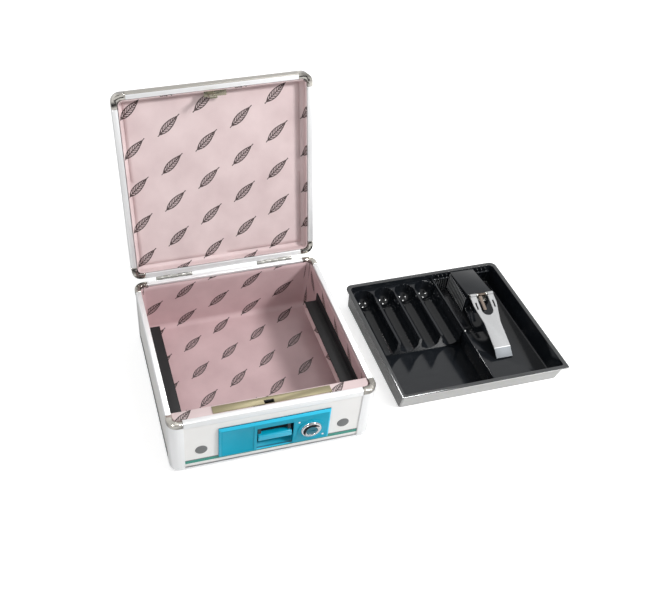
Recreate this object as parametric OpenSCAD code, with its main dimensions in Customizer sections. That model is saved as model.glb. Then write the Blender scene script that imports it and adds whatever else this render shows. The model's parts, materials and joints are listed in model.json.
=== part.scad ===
// Lockable aluminium-framed box with a lift-out sorting tray.
// The lid stands open on its hinges and the tray stands on the ground beside the case.
// Frame: X to the right, Y to the back, Z up, origin on the ground under the middle of the case.

/* [Case] */
// Width of the case over its frame
case_w = 250; // [235:1:300]
// Depth of the case over its frame, front to back
case_d = 246; // [235:1:290]
// Height of the base from its underside to its rim
base_h = 90; // [88:1:130]
// Height of the lid over its frame
lid_h = 20; // [19:0.5:34]
// Angle from closed at which the lid rests on its stop
lid_open = 104.5; // [92:0.5:108]
// Gap left between the two rims when the lid is shut
lid_gap = 0.4; // [0.2:0.1:0.8]
// Thickness of the wall, floor and lid panels
panel_t = 4; // [3.6:0.1:4.4]
// Thickness of the lining cloth and its card
lining_t = 1.6; // [1.2:0.1:2]
// Radius of the coves where the base lining turns a corner
cove_r = 8; // [5:0.5:10]

/* [Frame] */
// Thickness of the frame extrusions
skin_t = 1.2; // [1:0.1:1.5]
// Radius of the case corners seen from above
corner_r = 12; // [11:0.5:14]
// Length of a corner piece along each side
corner_arm = 17.5; // [16:0.5:22]
// Thickness of the rim extrusion's top web
rim_web = 3.5; // [3:0.1:4]
// Height of the rim extrusion's outer skirt
rim_skirt = 9; // [8:0.5:12]
// Height of a rim corner casting
rim_corner_h = 7; // [6:0.5:8]
// How far a corner casting stands out from the frame
corner_proud = 0.5; // [0.2:0.1:0.8]
// Radius of the bottom outer edge of the frame
bottom_edge_r = 6; // [5:0.5:6.5]
// Height of the bottom extrusion's outer leg
bottom_leg_h = 8; // [7.5:0.5:12]
// Width of the bottom extrusion's flat leg
bottom_leg_w = 16; // [12:1:17]
// Radius of the lid's top outer edge
lid_edge_r = 7; // [5:0.5:7]
// Width of the lid extrusion's top leg
lid_leg_w = 14; // [12.5:0.5:18]

/* [Feet] */
// Height of the rubber feet
foot_h = 2; // [1.6:0.1:3]
// Radius of the rubber feet
foot_r = 5; // [4:0.5:6]

/* [Tray seat] */
// Depth of the tray shelf below the rim
rail_drop = 40; // [38:1:46]
// Width of the shelf angle
rail_w = 17.5; // [12:0.5:20]
// Height of the shelf angle's upstand
rail_up = 15; // [10:0.5:20]
// Thickness of the shelf angle
rail_t = 1.8; // [1.4:0.1:2.2]
// Length of the shelf angle
rail_len = 178; // [140:1:180]

/* [Front ledge] */
// Width of the lined ledge behind the front rim
ledge_w = 14; // [13.5:0.5:18]
// Depth of the ledge top below the rim
ledge_drop = 2; // [1.6:0.1:2.6]
// Thickness of the ledge boards
ledge_t = 2.5; // [2:0.1:3]
// Length of the strike strip
strike_len = 142; // [100:1:160]
// Width of the strike strip
strike_w = 10; // [8.5:0.5:11]
// Thickness of the strike strip
strike_t = 0.8; // [0.5:0.1:1]

/* [Front plate] */
// Width of the front plate
plate_w = 136; // [130:0.5:150]
// Height of the front plate
plate_h = 52.3; // [50.5:0.1:55]
// Distance of the front plate's middle to the right of the case's middle
plate_x = 1.3; // [0:0.1:3]
// Thickness of the front plate
plate_t = 4; // [3.4:0.1:4.6]
// Width of the bevel round the front plate
plate_bevel = 2.5; // [1.5:0.1:3]
// Height of the front plate's lower edge above the underside
plate_z = 17.3; // [16.5:0.1:19]
// Width of the handle pocket
pocket_w = 44.7; // [40:0.1:50]
// Height of the handle pocket
pocket_h = 42.2; // [40:0.1:44]
// Depth of the handle pocket from the plate's face
pocket_d = 18; // [16:0.5:18.5]
// Wall of the handle pocket
pocket_t = 1.6; // [1.2:0.1:1.8]
// Height of the stripe's lower edge above the underside
stripe_z = 13.3; // [12.5:0.1:14]
// Height of the stripe at either side of the front plate
stripe_h = 6; // [4:0.5:7]
// Radius of the panel plugs
plug_r = 7.5; // [5:0.5:9]
// Distance of a panel plug from the middle of the case
plug_x = 87.3; // [85:0.1:92]

/* [Carrying handle] */
// Height of the grip bar
grip_h = 10; // [8:0.5:13]
// Thickness of the grip bar
grip_t = 7.4; // [6:0.1:8]
// Distance of the grip bar below the handle pin
grip_drop = 7.2; // [6:0.1:9]
// Radius of the handle pin
handle_pin_r = 1.25; // [1:0.05:1.5]
// Furthest swing of the handle
handle_swing = 85; // [60:1:88]

/* [Lock] */
// Distance of the lock from the front plate's right edge
lock_in = 23.7; // [22.5:0.1:26]
// Height of the lock above the underside
lock_z = 41; // [40:0.5:44]
// Radius of the lock's face ring
bezel_r = 13; // [11.5:0.5:14]
// Height of the face ring above the plate
bezel_h = 3; // [2:0.1:4]
// Radius of the lock barrel
barrel_r = 9; // [8.5:0.1:10]
// Radius of the key cylinder
cylinder_r = 7; // [6:0.1:7.4]
// Radial running clearance of the cylinder and the pins
run_gap = 0.05; // [0.03:0.01:0.08]
// Travel of the lock bolt
bolt_throw = 7; // [6.5:0.1:7.2]
// Thickness of the lock bolt
bolt_t = 1.5; // [1.2:0.1:2]
// Width of the catch hook
hook_w = 9; // [8:0.5:10]
// Depth of the catch hook below the rim
hook_drop = 17; // [16.5:0.5:19]

/* [Hinges] */
// Length of a hinge
hinge_len = 49.5; // [40:0.5:56]
// Distance of a hinge from the middle of the case
hinge_x = 69.5; // [60:0.5:75]
// Radius of the hinge knuckles
knuckle_r = 2.2; // [2:0.1:2.6]
// Radius of the hinge pin
hinge_pin_r = 1.1; // [0.9:0.05:1.3]
// Thickness of the hinge leaves
leaf_t = 1; // [0.8:0.1:1.2]
// Height of a hinge leaf
leaf_h = 11; // [9:0.5:13]

/* [Tray] */
// Height of the tray
tray_h = 33; // [32:0.5:37]
// Wall of the tray
tray_t = 2.2; // [1.8:0.1:2.6]
// Overhang of the tray's lip
tray_lip = 3.5; // [2.5:0.1:4]
// Thickness of the tray's lip
lip_t = 2; // [1.5:0.1:2.6]
// How far the tray's front wall leans in
front_lean = 9; // [4:0.5:12]
// Radius of the tray's back corners
tray_back_r = 9; // [6:0.5:11]
// Side clearance of the tray between the shelf angles
tray_side_gap = 0.7; // [0.4:0.1:1.5]
// End clearance of the tray between ledge and back wall
tray_end_gap = 1.5; // [0.8:0.1:2.5]
// Distance of the tray from the case where it stands on the ground
tray_away = 48.7; // [20:0.1:80]
// Distance of the tray's front from the front of the case
tray_back = 22; // [0:0.5:60]

/* [Coin rack] */
// Radius of a coin channel
coin_r = 13.7; // [11:0.1:13.8]
// Width of the ridge between two channels
ridge_w = 3.2; // [2.4:0.1:3.6]
// Length of the coin rack
rack_len = 110; // [90:1:120]
// Height of the coin rack
rack_h = 23.8; // [22:0.2:25]
// How much wider than its channel a finger scoop is
scoop_extra = 0.8; // [0.4:0.1:1]
// Height of the divider
divider_h = 26.8; // [22:0.2:28]
// Thickness of the divider
divider_t = 2; // [1.6:0.1:2.6]

/* [Bill clip] */
// Width of the stand that carries the clip
stand_w = 36; // [34:0.5:42]
// Length of the stand behind the clip's pin
stand_len = 57.5; // [50:0.5:62]
// Length of the ramp before the stand
ramp_len = 38.5; // [30:0.5:46]
// Height of the ramp where it meets the stand
ramp_h = 12.8; // [8:0.2:16]
// Height of the clip's pin above the tray's floor
clip_rise = 37.6; // [35:0.2:40]
// Length of the clip from its pin to its bend
clip_len = 82; // [72:1:86]
// Slope of the clip's arm
clip_slope = 20; // [17:0.5:22]
// Slope of the clip's tip
tip_slope = 38; // [32:1:60]
// Width of the clip's head
clip_head_w = 34.4; // [32:0.1:36]
// Width of the clip's arm
clip_arm_w = 23.4; // [18:0.2:26]
// Distance from the pin to where the clip's head begins to narrow
clip_cheek = 16; // [12:1:20]
// Distance from the pin to the clip's neck
clip_neck = 44; // [36:1:50]
// Width of the fork's opening
fork_w = 17; // [14:0.5:18]
// Thickness of the clip's sheet
clip_t = 1.6; // [1.2:0.1:2]
// Radius of the clip's pin
clip_pin_r = 1.2; // [1:0.1:1.5]
// Thickness of the clip's leaf spring
spring_t = 0.8; // [0.5:0.1:1]

/* [Hidden] */
$fn = 64;

// Clearances between fixed pieces
seam = 0.15;
slip = 0.3;

// Wall build-up, measured inwards from the frame's outer face
panel_in = skin_t + panel_t;
wall_t = panel_in + lining_t + 0.2;
panel_end = corner_r;

// Levels of the base
under_z = foot_h;
rim_z = foot_h + base_h;
floor_panel_z = under_z + 1.5;
panel_foot_z = under_z + 4.2;
inner_z = floor_panel_z + panel_t + lining_t;
ledge_z = rim_z - ledge_drop;
post_z = under_z + bottom_leg_h;

// Inner faces of the base
inner_x = case_w / 2 - wall_t;
inner_y = case_d / 2 - wall_t;
ledge_y = -inner_y + ledge_w;
batten_h = 18;
front_face_y = -case_d / 2 + skin_t;
front_back_y = -case_d / 2 + panel_in;

// Front plate, handle and lock
plate_left = plate_x - plate_w / 2;
plate_face_y = front_face_y - plate_t;
plate_low = under_z + plate_z;
plate_mid = plate_low + plate_h / 2;
pocket_x = plate_x;
pocket_top = plate_low + pocket_h;
pocket_back_y = plate_face_y + pocket_d;
grip_w = pocket_w - 4;
handle_z = pocket_top - 7.5;
handle_y = plate_face_y + 7.8;
handle_boss_r = 2.6;
grip_arm_w = 4;
stripe_low = under_z + stripe_z;
latch_y = -inner_y + 5;
latch_x = -4;
lock_x = plate_left + plate_w - lock_in;
lock_at = under_z + lock_z;
stud_r = 1.5;
mark_r = 1.2;
cam_r = 7.5;
cam_throw = bolt_throw / sqrt(2);
cam_pin_r = 1.5;
cam_gap = 0.25;
nose_z = rim_z - 10.75;
nose_h = 3.5;
nose_len = 20;
hook_t = 2;
hook_right = latch_x + hook_w / 2;
slot_w = hook_w + 3;
slot_d = hook_t + 3.6;
bolt_half = 10;
bolt_left = 12;
bolt_right = lock_x + bolt_half;
bolt_bar_h = 14;
bolt_top = ledge_z - ledge_t - 1.5 - 0.6;
guide_x = [bolt_left + 6, bolt_right - bolt_half];
guide_drop = 10;
guide_r = 2;

// Hinges and lid
hinge_y = case_d / 2 + knuckle_r + 0.2;
hinge_z = rim_z + lid_gap / 2;
lid_z = rim_z + lid_gap;
lid_panel_z = lid_z + lid_h - skin_t - panel_t;
knuckles = 5;
knuckle_gap = 0.2;
leaf_edge = 1.2;
rivet_r = 1.2;
rivet_head_r = 1.9;

// Tray, in its own coordinates: u to the right, v to the back, from the lip's front left corner
tray_w = 2 * (inner_x - rail_t - tray_side_gap);
tray_d = inner_y - ledge_y - 2 * tray_end_gap;
tray_front_r = 3;
tray_draft = 1;
tray_in = tray_lip + tray_t + tray_draft + 0.3;
pitch = 2 * coin_r + ridge_w;
rack_edge = 1.3;
rack_w = 4 * pitch - ridge_w + 2 * rack_edge;
rack_back = tray_d - tray_in;
rack_front = rack_back - rack_len;
rack_floor = 2.4;
tub_foot = 2.4;
divider_u = tray_in + rack_w + 0.2;
divider_z = tray_t + divider_h;
bill_u = divider_u + divider_t;

// Clip and its stand
stand_u = (bill_u + tray_w - tray_in) / 2 - 0.8;
stand_v = rack_back - stand_len;
clip_knuckle_r = 2.6;
clip_v = stand_v - clip_knuckle_r - 0.7;
clip_z = tray_t + clip_rise;
shoulder_z = clip_z - 8;
stand_front_z = clip_z - 1;
stand_back_z = tray_h - 0.6;
tip_len = (clip_z - clip_len * sin(clip_slope) - tray_t - 1.1) / sin(tip_slope);
lug_t = 2.4;
lug_w = fork_w - 0.8;
ledge_fin_t = 1.6;
leaf_reach = 24;

// ---- shared shapes ----

// A profile drawn as (inwards, up) swept along X
module along_x(len) rotate([90, 0, 90]) linear_extrude(len, center = true) children();

// Places children at a piece standing on one side: 0 front, 1 right, 2 back, 3 left
module on_side(k) rotate(90 * k) translate([0, -(k % 2 == 0 ? case_d : case_w) / 2, 0]) children();

function side_len(k) = (k % 2 == 0 ? case_w : case_d) - 2 * corner_arm - 2 * seam;

// Repeats children at the four corners, mirrored into place
module at_corners(x, y)
    for (sx = [0, 1], sy = [0, 1])
        mirror([sx, 0, 0]) mirror([0, sy, 0]) translate([x, y, 0]) children();

// A profile turned round a case corner, with an arm along each side
module corner_piece() {
    arm = corner_arm - corner_r;
    reach = base_h + lid_h;
    rotate_extrude(angle = 90) intersection() {
        translate([corner_r, 0]) mirror([1, 0]) children();
        translate([0, -reach]) square([corner_r + 2, 2 * reach]);
    }
    for (m = [0, 1])
        mirror([m, -m, 0]) translate([-arm / 2, corner_r, 0]) along_x(arm) mirror([1, 0]) children();
}

// A rectangle with its four corners rounded
module round_rect(w, d, r) {
    square([w - 2 * r, d], center = true);
    square([w, d - 2 * r], center = true);
    for (sx = [-1, 1], sy = [-1, 1]) translate([sx * (w / 2 - r), sy * (d / 2 - r)]) circle(r);
}

// The quarter-plane behind an edge rounded at its outer low corner
module rounded_low(r, big = 60) {
    translate([r, r]) circle(r);
    translate([r, 0]) square(big);
    translate([0, r]) square(big);
}

// A round pin along X from its left end
module pin_x(r, len) rotate([0, 90, 0]) cylinder(r = r, h = len);

// A round pin along X about its middle
module pin_x_mid(r, len) translate([-len / 2, 0, 0]) pin_x(r, len);

// A round pin along Y from its front end
module pin_y(r, len) rotate([-90, 0, 0]) cylinder(r = r, h = len);

// A domed rivet head on a short shank: head outwards along -Y, shank along +Y
module rivet(shank) {
    intersection() {
        translate([0, 1.8, 0]) sphere(2.6);
        rotate([90, 0, 0]) cylinder(r = rivet_head_r, h = 3);
    }
    pin_y(rivet_r - run_gap, shank);
}

// ---- base panels ----

module wall_panel(len) translate([-len / 2, skin_t, panel_foot_z])
    cube([len, panel_t, rim_z - rim_web - panel_foot_z]);

module floor_panel() color("white")
    translate([0, 0, floor_panel_z]) linear_extrude(panel_t)
        round_rect(case_w - 2 * wall_t, case_d - 2 * wall_t, corner_r - wall_t);

module front_panel() color("white") difference() {
    on_side(0) wall_panel(case_w - 2 * panel_end - 2 * seam);
    translate([pocket_x - pocket_w / 2 - pocket_t - slip, front_face_y - 1, plate_low + 1 - slip])
        cube([pocket_w + 2 * pocket_t + 2 * slip, panel_t + 2, pocket_h - 1 + pocket_t + 2 * slip]);
    translate([lock_x, front_face_y - 1, lock_at]) pin_y(barrel_r + slip, panel_t + 2);
    for (p = stud_places()) translate([p[0], front_face_y - 1, p[1]])
        pin_y(stud_r + slip, panel_t + 2);
}

module back_panel() color("white") on_side(2) wall_panel(case_w - 2 * panel_end - 2 * seam);

module left_panel() color("white") on_side(3) wall_panel(case_d - 2 * panel_end - 2 * seam);

module right_panel() color("white") on_side(1) wall_panel(case_d - 2 * panel_end - 2 * seam);

// ---- base frame ----

// Upright corner extrusion: a skin over both panels and a core that closes their ends
module post_profile() intersection() {
    rounded_low(corner_r);
    union() {
        square([corner_arm, skin_t]);
        square([skin_t, corner_arm]);
        square([panel_end, panel_in]);
        square([panel_in, panel_end]);
    }
}

module corner_posts() color("gainsboro")
    at_corners(-case_w / 2, -case_d / 2)
        translate([0, 0, post_z + seam])
            linear_extrude(rim_z - rim_corner_h - post_z - 2 * seam) post_profile();

// Bottom extrusion: a skirt outside the wall panel, a block under it and a leg under the floor
module bottom_profile() intersection() {
    rounded_low(bottom_edge_r);
    union() {
        square([wall_t, panel_foot_z - under_z]);
        square([skin_t, bottom_leg_h]);
        square([bottom_leg_w, floor_panel_z - under_z]);
    }
}

module bottom_rails() color("gainsboro")
    for (k = [0:3])
        translate([0, 0, under_z]) on_side(k) along_x(side_len(k)) bottom_profile();

module bottom_corners() color("gainsboro")
    at_corners(case_w / 2 - corner_r, case_d / 2 - corner_r)
        translate([0, 0, under_z]) corner_piece() bottom_profile();

// Rim extrusion, from the rim plane down: a web over the panel and a skirt outside it
module rim_profile(edge = 1.5) {
    mirror([0, 1]) intersection() {
        rounded_low(edge);
        union() {
            square([wall_t, rim_web]);
            square([skin_t, rim_skirt]);
        }
    }
}

module rim_rail(k) color("whitesmoke")
    translate([0, 0, rim_z]) on_side(k) along_x(side_len(k)) rim_profile();

module base_rim_front() rim_rail(0);
module base_rim_right() rim_rail(1);
module base_rim_back() rim_rail(2);
module base_rim_left() rim_rail(3);

// Rim corner casting: the same section, standing a little proud outside
module rim_corner_profile() {
    translate([-corner_proud, 0]) mirror([0, 1]) intersection() {
        rounded_low(1.5);
        union() {
            square([wall_t + corner_proud, rim_web]);
            square([skin_t + corner_proud - seam, rim_corner_h]);
        }
    }
}

module base_rim_corners() color("silver")
    at_corners(case_w / 2 - corner_r, case_d / 2 - corner_r)
        translate([0, 0, rim_z]) corner_piece() rim_corner_profile();

module feet() color("dimgray")
    at_corners(case_w / 2 - corner_r - 1, case_d / 2 - corner_r - 1)
        cylinder(r = foot_r, h = foot_h);

// ---- lining and seats ----

// A cavity with a flat floor, coves round it and upright walls with round corners
module coved_cavity(w, d, h, r) hull() {
    linear_extrude(0.01) square([w - 2 * r, d - 2 * r], center = true);
    for (sx = [-1, 1], sy = [-1, 1]) translate([sx * (w / 2 - r), sy * (d / 2 - r), r]) {
        sphere(r, $fn = 32);
        cylinder(r = r, h = h - r, $fn = 32);
    }
}

module base_lining() color("rosybrown") difference() {
    lining_low = floor_panel_z + panel_t;
    lining_top = rim_z - rim_web - 0.6;
    translate([0, 0, lining_low]) linear_extrude(lining_top - lining_low)
        round_rect(case_w - 2 * panel_in - 2 * seam, case_d - 2 * panel_in - 2 * seam, 2);
    translate([0, 0, inner_z]) coved_cavity(2 * inner_x, 2 * inner_y, rim_z, cove_r);
    // room for the pocket, the lock and the bolt behind the front panel
    translate([-inner_x + cove_r, -inner_y - 3, inner_z + 2])
        cube([2 * (inner_x - cove_r), 6, rim_z]);
}

// Lined boards that close off the lock and carry the strike strip
module front_ledge() color("rosybrown") difference() {
    ledge_len = 2 * inner_x - 0.6;
    union() {
        intersection() {
            translate([-ledge_len / 2, -inner_y + slip, ledge_z - ledge_t - 1.5])
                cube([ledge_len, ledge_w - slip, ledge_t + 1.5]);
            translate([0, 0, inner_z]) linear_extrude(rim_z)
                round_rect(ledge_len, 2 * inner_y - 2 * slip, cove_r);
        }
        translate([-(inner_x - cove_r), ledge_y - ledge_t, inner_z])
            cube([2 * (inner_x - cove_r), ledge_t, ledge_z - inner_z - ledge_t]);
        translate([-ledge_len / 2, ledge_y - ledge_t, inner_z + cove_r])
            cube([ledge_len, ledge_t, ledge_z - inner_z - cove_r - ledge_t]);
    }
    translate([latch_x - slot_w / 2, latch_y - slot_d / 2, ledge_z - 20])
        cube([slot_w, slot_d, 30]);
}

module strike_strip() color("darkkhaki") difference() {
    translate([0.2 - strike_len / 2, -inner_y + 2, ledge_z]) cube([strike_len, strike_w, strike_t]);
    translate([latch_x - slot_w / 2, latch_y - slot_d / 2, ledge_z - 1]) cube([slot_w, slot_d, 4]);
}

// Shelf angle on the right wall, with its upstand against the lining
module tray_rail() color("#202124") {
    shelf_z = rim_z - rail_drop;
    rail_y = ledge_y + 0.5;
    translate([inner_x - rail_w, rail_y, shelf_z - rail_t]) cube([rail_w, rail_len, rail_t]);
    translate([inner_x - rail_t, rail_y, shelf_z - rail_t]) cube([rail_t, rail_len, rail_up]);
}

// Lined batten that holds the shelf angle up
module tray_batten() color("rosybrown")
    translate([inner_x - rail_w + 2, ledge_y + 0.5, rim_z - rail_drop - rail_t - batten_h])
        cube([rail_w - 2, rail_len, batten_h]);

module right_batten() tray_batten();
module left_batten() mirror([1, 0, 0]) tray_batten();
module right_tray_rail() tray_rail();
module left_tray_rail() mirror([1, 0, 0]) tray_rail();

// ---- front plate and handle ----

module plate_blank() translate([plate_left, front_face_y, plate_low]) hull() {
    translate([0, -plate_t + plate_bevel, 0]) cube([plate_w, plate_t - plate_bevel, plate_h]);
    translate([plate_bevel, -plate_t, plate_bevel])
        cube([plate_w - 2 * plate_bevel, plate_t, plate_h - 2 * plate_bevel]);
}

// The pocket's inside in side view, with a sloped finger scoop along its foot
module pocket_side(grow) {
    slope_top = plate_low + 9;
    polygon([
        [plate_face_y - 2, plate_low + 1.2 - grow], [plate_face_y + 1, plate_low + 1.2 - grow],
        [pocket_back_y + grow, slope_top - grow], [pocket_back_y + grow, pocket_top + grow],
        [plate_face_y - 2, pocket_top + grow]
    ]);
}

module pocket_cut() translate([pocket_x, 0, 0]) along_x(pocket_w) pocket_side(0);

module pocket_shell() intersection() {
    translate([pocket_x, 0, 0]) along_x(pocket_w + 2 * pocket_t) pocket_side(pocket_t);
    translate([plate_left, front_face_y - 0.5, plate_low + 1])
        cube([plate_w, pocket_d + 5, plate_h]);
}

module front_plate() color("darkturquoise") difference() {
    union() {
        plate_blank();
        pocket_shell();
        // studs through the front panel, for the push nuts
        for (p = stud_places()) translate([p[0], front_face_y - 1, p[1]])
            pin_y(stud_r, panel_t + 4.4);
        // low collar round the lock
        translate([lock_x, plate_face_y - 0.8, lock_at]) pin_y(bezel_r + 3.5, 2);
    }
    pocket_cut();
    translate([lock_x, plate_face_y - 2, lock_at]) pin_y(barrel_r + run_gap, plate_t + 4);
    // shallow bare field on the left, framed by a rib
    translate([plate_left + plate_bevel + 2, plate_face_y - 1, plate_low + plate_bevel + 2])
        cube([pocket_x - pocket_w / 2 - plate_left - plate_bevel - 5.5, 1.8,
            plate_h - 2 * plate_bevel - 4]);
    for (p = mark_places()) translate([p[0], plate_face_y - 1, p[1]])
        pin_y(mark_r + run_gap, 2);
    // holes for the handle pin
    translate([pocket_x - pocket_w / 2 - 1.2, handle_y, handle_z])
        pin_x(handle_pin_r + run_gap, pocket_w + 2.4);
}

function mark_places() = [
    [lock_x - bezel_r - 2.5, lock_at + bezel_r + 3], [lock_x + bezel_r + 2.5, lock_at - bezel_r - 1]
];

function stud_places() = [for (s = [-1, 1]) [plate_left + 14, plate_mid + s * 16]];

module lock_marks() color("white")
    for (p = mark_places()) translate([p[0], plate_face_y - 0.2, p[1]]) pin_y(mark_r, 1.2);

module plate_nuts() color("silver")
    for (p = stud_places()) translate([p[0], front_back_y, p[1]]) difference() {
        pin_y(4.5, 1);
        translate([0, -1, 0]) pin_y(stud_r + run_gap, 3);
    }

module carry_handle() color("darkturquoise") difference() {
    bar_y = plate_face_y + 0.4;
    bar_top = handle_z - grip_drop;
    bar_left = pocket_x - grip_w / 2;
    union() {
        // grip bar with a round nose
        translate([bar_left, bar_y, bar_top - grip_h]) hull() {
            translate([0, grip_t - 1, 1]) cube([grip_w, 1, grip_h - 1.6]);
            for (z = [1.6, grip_h - 1.6]) translate([0, 1.6, z]) pin_x(1.6, grip_w, $fn = 32);
        }
        // arms up to the pin
        for (x = [bar_left, bar_left + grip_w - grip_arm_w]) hull() {
            translate([x, handle_y, handle_z]) pin_x(handle_boss_r, grip_arm_w);
            translate([x, bar_y + grip_t - 4.5, bar_top - 2]) cube([grip_arm_w, 4.5, 1]);
        }
    }
    translate([pocket_x - grip_w / 2 - 1, handle_y, handle_z])
        pin_x(handle_pin_r + run_gap, grip_w + 2);
}

module handle_pin() color("silver")
    translate([pocket_x - pocket_w / 2 - 1.1, handle_y, handle_z])
        pin_x(handle_pin_r, pocket_w + 2.2);

module panel_plugs() color("#5c6064")
    for (s = [-1, 1]) translate([s * plug_x, front_face_y, under_z + 36])
        rotate([90, 0, 0]) cylinder(r1 = plug_r, r2 = plug_r - 0.5, h = 0.6);

// Film stripe along the front, narrower where it passes under the front plate
module front_stripe() color("teal") {
    end_x = case_w / 2 - corner_arm - 0.5;
    stripe_y = front_face_y - 0.3;
    translate([-end_x, stripe_y, stripe_low]) cube([2 * end_x, 0.3, plate_low - 0.2 - stripe_low]);
    translate([-end_x, stripe_y, stripe_low]) cube([end_x + plate_left - 0.2, 0.3, stripe_h]);
    translate([plate_left + plate_w + 0.2, stripe_y, stripe_low])
        cube([end_x - plate_left - plate_w - 0.2, 0.3, stripe_h]);
}

// ---- lock ----

// Face ring and barrel, turned about the lock's axis
module lock_housing() color("silver") {
    back_y = front_back_y + 3.3;
    translate([lock_x, 0, lock_at]) rotate([-90, 0, 0]) rotate_extrude() polygon([
        [cylinder_r + run_gap, plate_face_y - 0.8 - bezel_h],
        [cylinder_r + 1.4, plate_face_y - 0.8 - bezel_h],
        [bezel_r - 1.2, plate_face_y - 2.4], [bezel_r, plate_face_y - 0.8],
        [barrel_r, plate_face_y - 0.8], [barrel_r, back_y], [cylinder_r + run_gap, back_y]
    ]);
}

// Ring nut that clamps the barrel to the front panel from behind
module lock_nut() color("silver")
    translate([lock_x, front_back_y, lock_at]) difference() {
        rotate([-90, 0, 0]) cylinder(r = 13, h = 3, $fn = 6);
        translate([0, -1, 0]) pin_y(barrel_r + run_gap, 5);
    }

module lock_cylinder() color("darkturquoise") difference() {
    front_y = plate_face_y - bezel_h - 0.2;
    translate([lock_x, front_y, lock_at]) pin_y(cylinder_r, cam_y() - front_y);
    // keyway
    translate([lock_x - 4.5, front_y - 1, lock_at - 0.8]) cube([9, 8, 1.6]);
}

function cam_y() = front_back_y + 3.7;

// Cam plate on the cylinder's tail, with the drive pin that moves the bolt
module lock_cam() color("lightslategray") translate([lock_x, cam_y(), lock_at]) {
    pin_y(cam_r, 1.2);
    rotate([0, -45, 0]) translate([cam_throw, 0.6, 0]) pin_y(cam_pin_r, latch_y + 1.6 - cam_y() - 0.6);
}

// Flat bolt: a leg at the lock, a bar over the handle pocket and a nose towards the hook
module lock_bolt() color("lightslategray") difference() {
    leg_x = lock_x - bolt_half;
    bar_low = bolt_top - bolt_bar_h;
    union() {
        translate([leg_x, latch_y - bolt_t / 2, lock_at - 2])
            cube([bolt_right - leg_x, bolt_t, bolt_top - lock_at + 2]);
        translate([bolt_left, latch_y - bolt_t / 2, bar_low])
            cube([bolt_right - bolt_left, bolt_t, bolt_bar_h]);
        translate([hook_right + 2, latch_y - bolt_t / 2, nose_z - nose_h / 2])
            cube([nose_len, bolt_t, nose_h]);
    }
    // slots for the guide studs
    for (x = guide_x) translate([x, latch_y - 3, bolt_top - guide_drop]) hull() {
        pin_y(guide_r + run_gap, 6, $fn = 32);
        translate([bolt_throw + 0.6, 0, 0]) pin_y(guide_r + run_gap, 6, $fn = 32);
    }
    // upright slot for the cam's drive pin
    translate([lock_x + bolt_throw / 2 - cam_pin_r - cam_gap, latch_y - 3, lock_at + 0.6])
        cube([2 * (cam_pin_r + cam_gap), 6, cam_throw + cam_pin_r + 0.6]);
}

// Headed studs riveted to the front panel, which carry the bolt
module bolt_guides() color("silver")
    for (x = guide_x) translate([x + 0.2, front_back_y, bolt_top - guide_drop]) {
        pin_y(guide_r - 0.1, latch_y + 1.9 - front_back_y);
        translate([0, latch_y + 1 - front_back_y, 0]) pin_y(3.4, 1);
        pin_y(4, latch_y - 1 - front_back_y);
    }

// ---- hinges ----

// Knuckles of one leaf about the hinge axis, with the bore for the pin
function knuckle_len() = hinge_len / knuckles;

module knuckle_row(first) for (k = [first:2:knuckles - 1])
    translate([-hinge_len / 2 + k * knuckle_len() + knuckle_gap / 2, 0, 0])
        pin_x(knuckle_r, knuckle_len() - knuckle_gap);

// A hinge leaf below its axis, lying on the case's back face
module hinge_leaf(first) translate([0, hinge_y, hinge_z]) difference() {
    union() {
        knuckle_row(first);
        translate([-hinge_len / 2, case_d / 2 - hinge_y, -leaf_h]) cube([hinge_len, leaf_t, leaf_h - knuckle_r - 0.3]);
        for (k = [first:2:knuckles - 1])
            translate([-hinge_len / 2 + k * knuckle_len() + knuckle_gap / 2,
                case_d / 2 - hinge_y, -leaf_h + 1])
                cube([knuckle_len() - knuckle_gap, leaf_t, leaf_h - 1 - leaf_edge]);
    }
    translate([-hinge_len / 2 - 1, 0, 0]) pin_x(hinge_pin_r + run_gap, hinge_len + 2);
    for (x = rivet_xs()) translate([x, case_d / 2 - hinge_y - 1, -leaf_h + 3.4]) pin_y(rivet_r, 4);
}

function rivet_xs() = [for (s = [-1, 0, 1]) s * (hinge_len / 2 - 6)];

// Turns a piece drawn for the base's back face over into its place on the closed lid
module flip_up() translate([0, 0, 2 * hinge_z]) mirror([0, 0, 1]) children();

// Swings a piece drawn on the closed lid to where the open lid rests
module at_lid() translate([0, hinge_y, hinge_z]) rotate([-lid_open, 0, 0])
    translate([0, -hinge_y, -hinge_z]) children();

module hinge_base_leaves() color("silver")
    for (s = [-1, 1]) translate([s * hinge_x, 0, 0]) hinge_leaf(0);

module hinge_lid_leaves() color("silver") at_lid()
    for (s = [-1, 1]) translate([s * hinge_x, 0, 0]) flip_up() hinge_leaf(1);

module hinge_pins() color("silver")
    for (s = [-1, 1]) translate([s * hinge_x - hinge_len / 2, hinge_y, hinge_z])
        pin_x(hinge_pin_r, hinge_len);

module leaf_rivets() for (s = [-1, 1], x = rivet_xs())
    translate([s * hinge_x + x, case_d / 2 + leaf_t, hinge_z - leaf_h + 3.4])
        rotate(180) rivet(leaf_t);

module hinge_base_rivets() color("silver") leaf_rivets();
module hinge_lid_rivets() color("silver") at_lid() flip_up() leaf_rivets();

// ---- lid ----

// Lid extrusion, from the rim plane up, with the groove that holds the lid panel
module lid_profile() difference() {
    translate([0, lid_h]) mirror([0, 1]) intersection() {
        rounded_low(lid_edge_r);
        union() {
            square([wall_t, lid_h]);
            square([lid_leg_w, skin_t]);
        }
    }
    translate([panel_in, lid_h - skin_t - panel_t]) square([lid_leg_w, panel_t]);
}

module lid_rail(k) color("whitesmoke") at_lid()
    translate([0, 0, lid_z]) on_side(k) along_x(side_len(k)) lid_profile();

module lid_rail_front() lid_rail(0);
module lid_rail_right() lid_rail(1);
module lid_rail_back() lid_rail(2);
module lid_rail_left() lid_rail(3);

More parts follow.
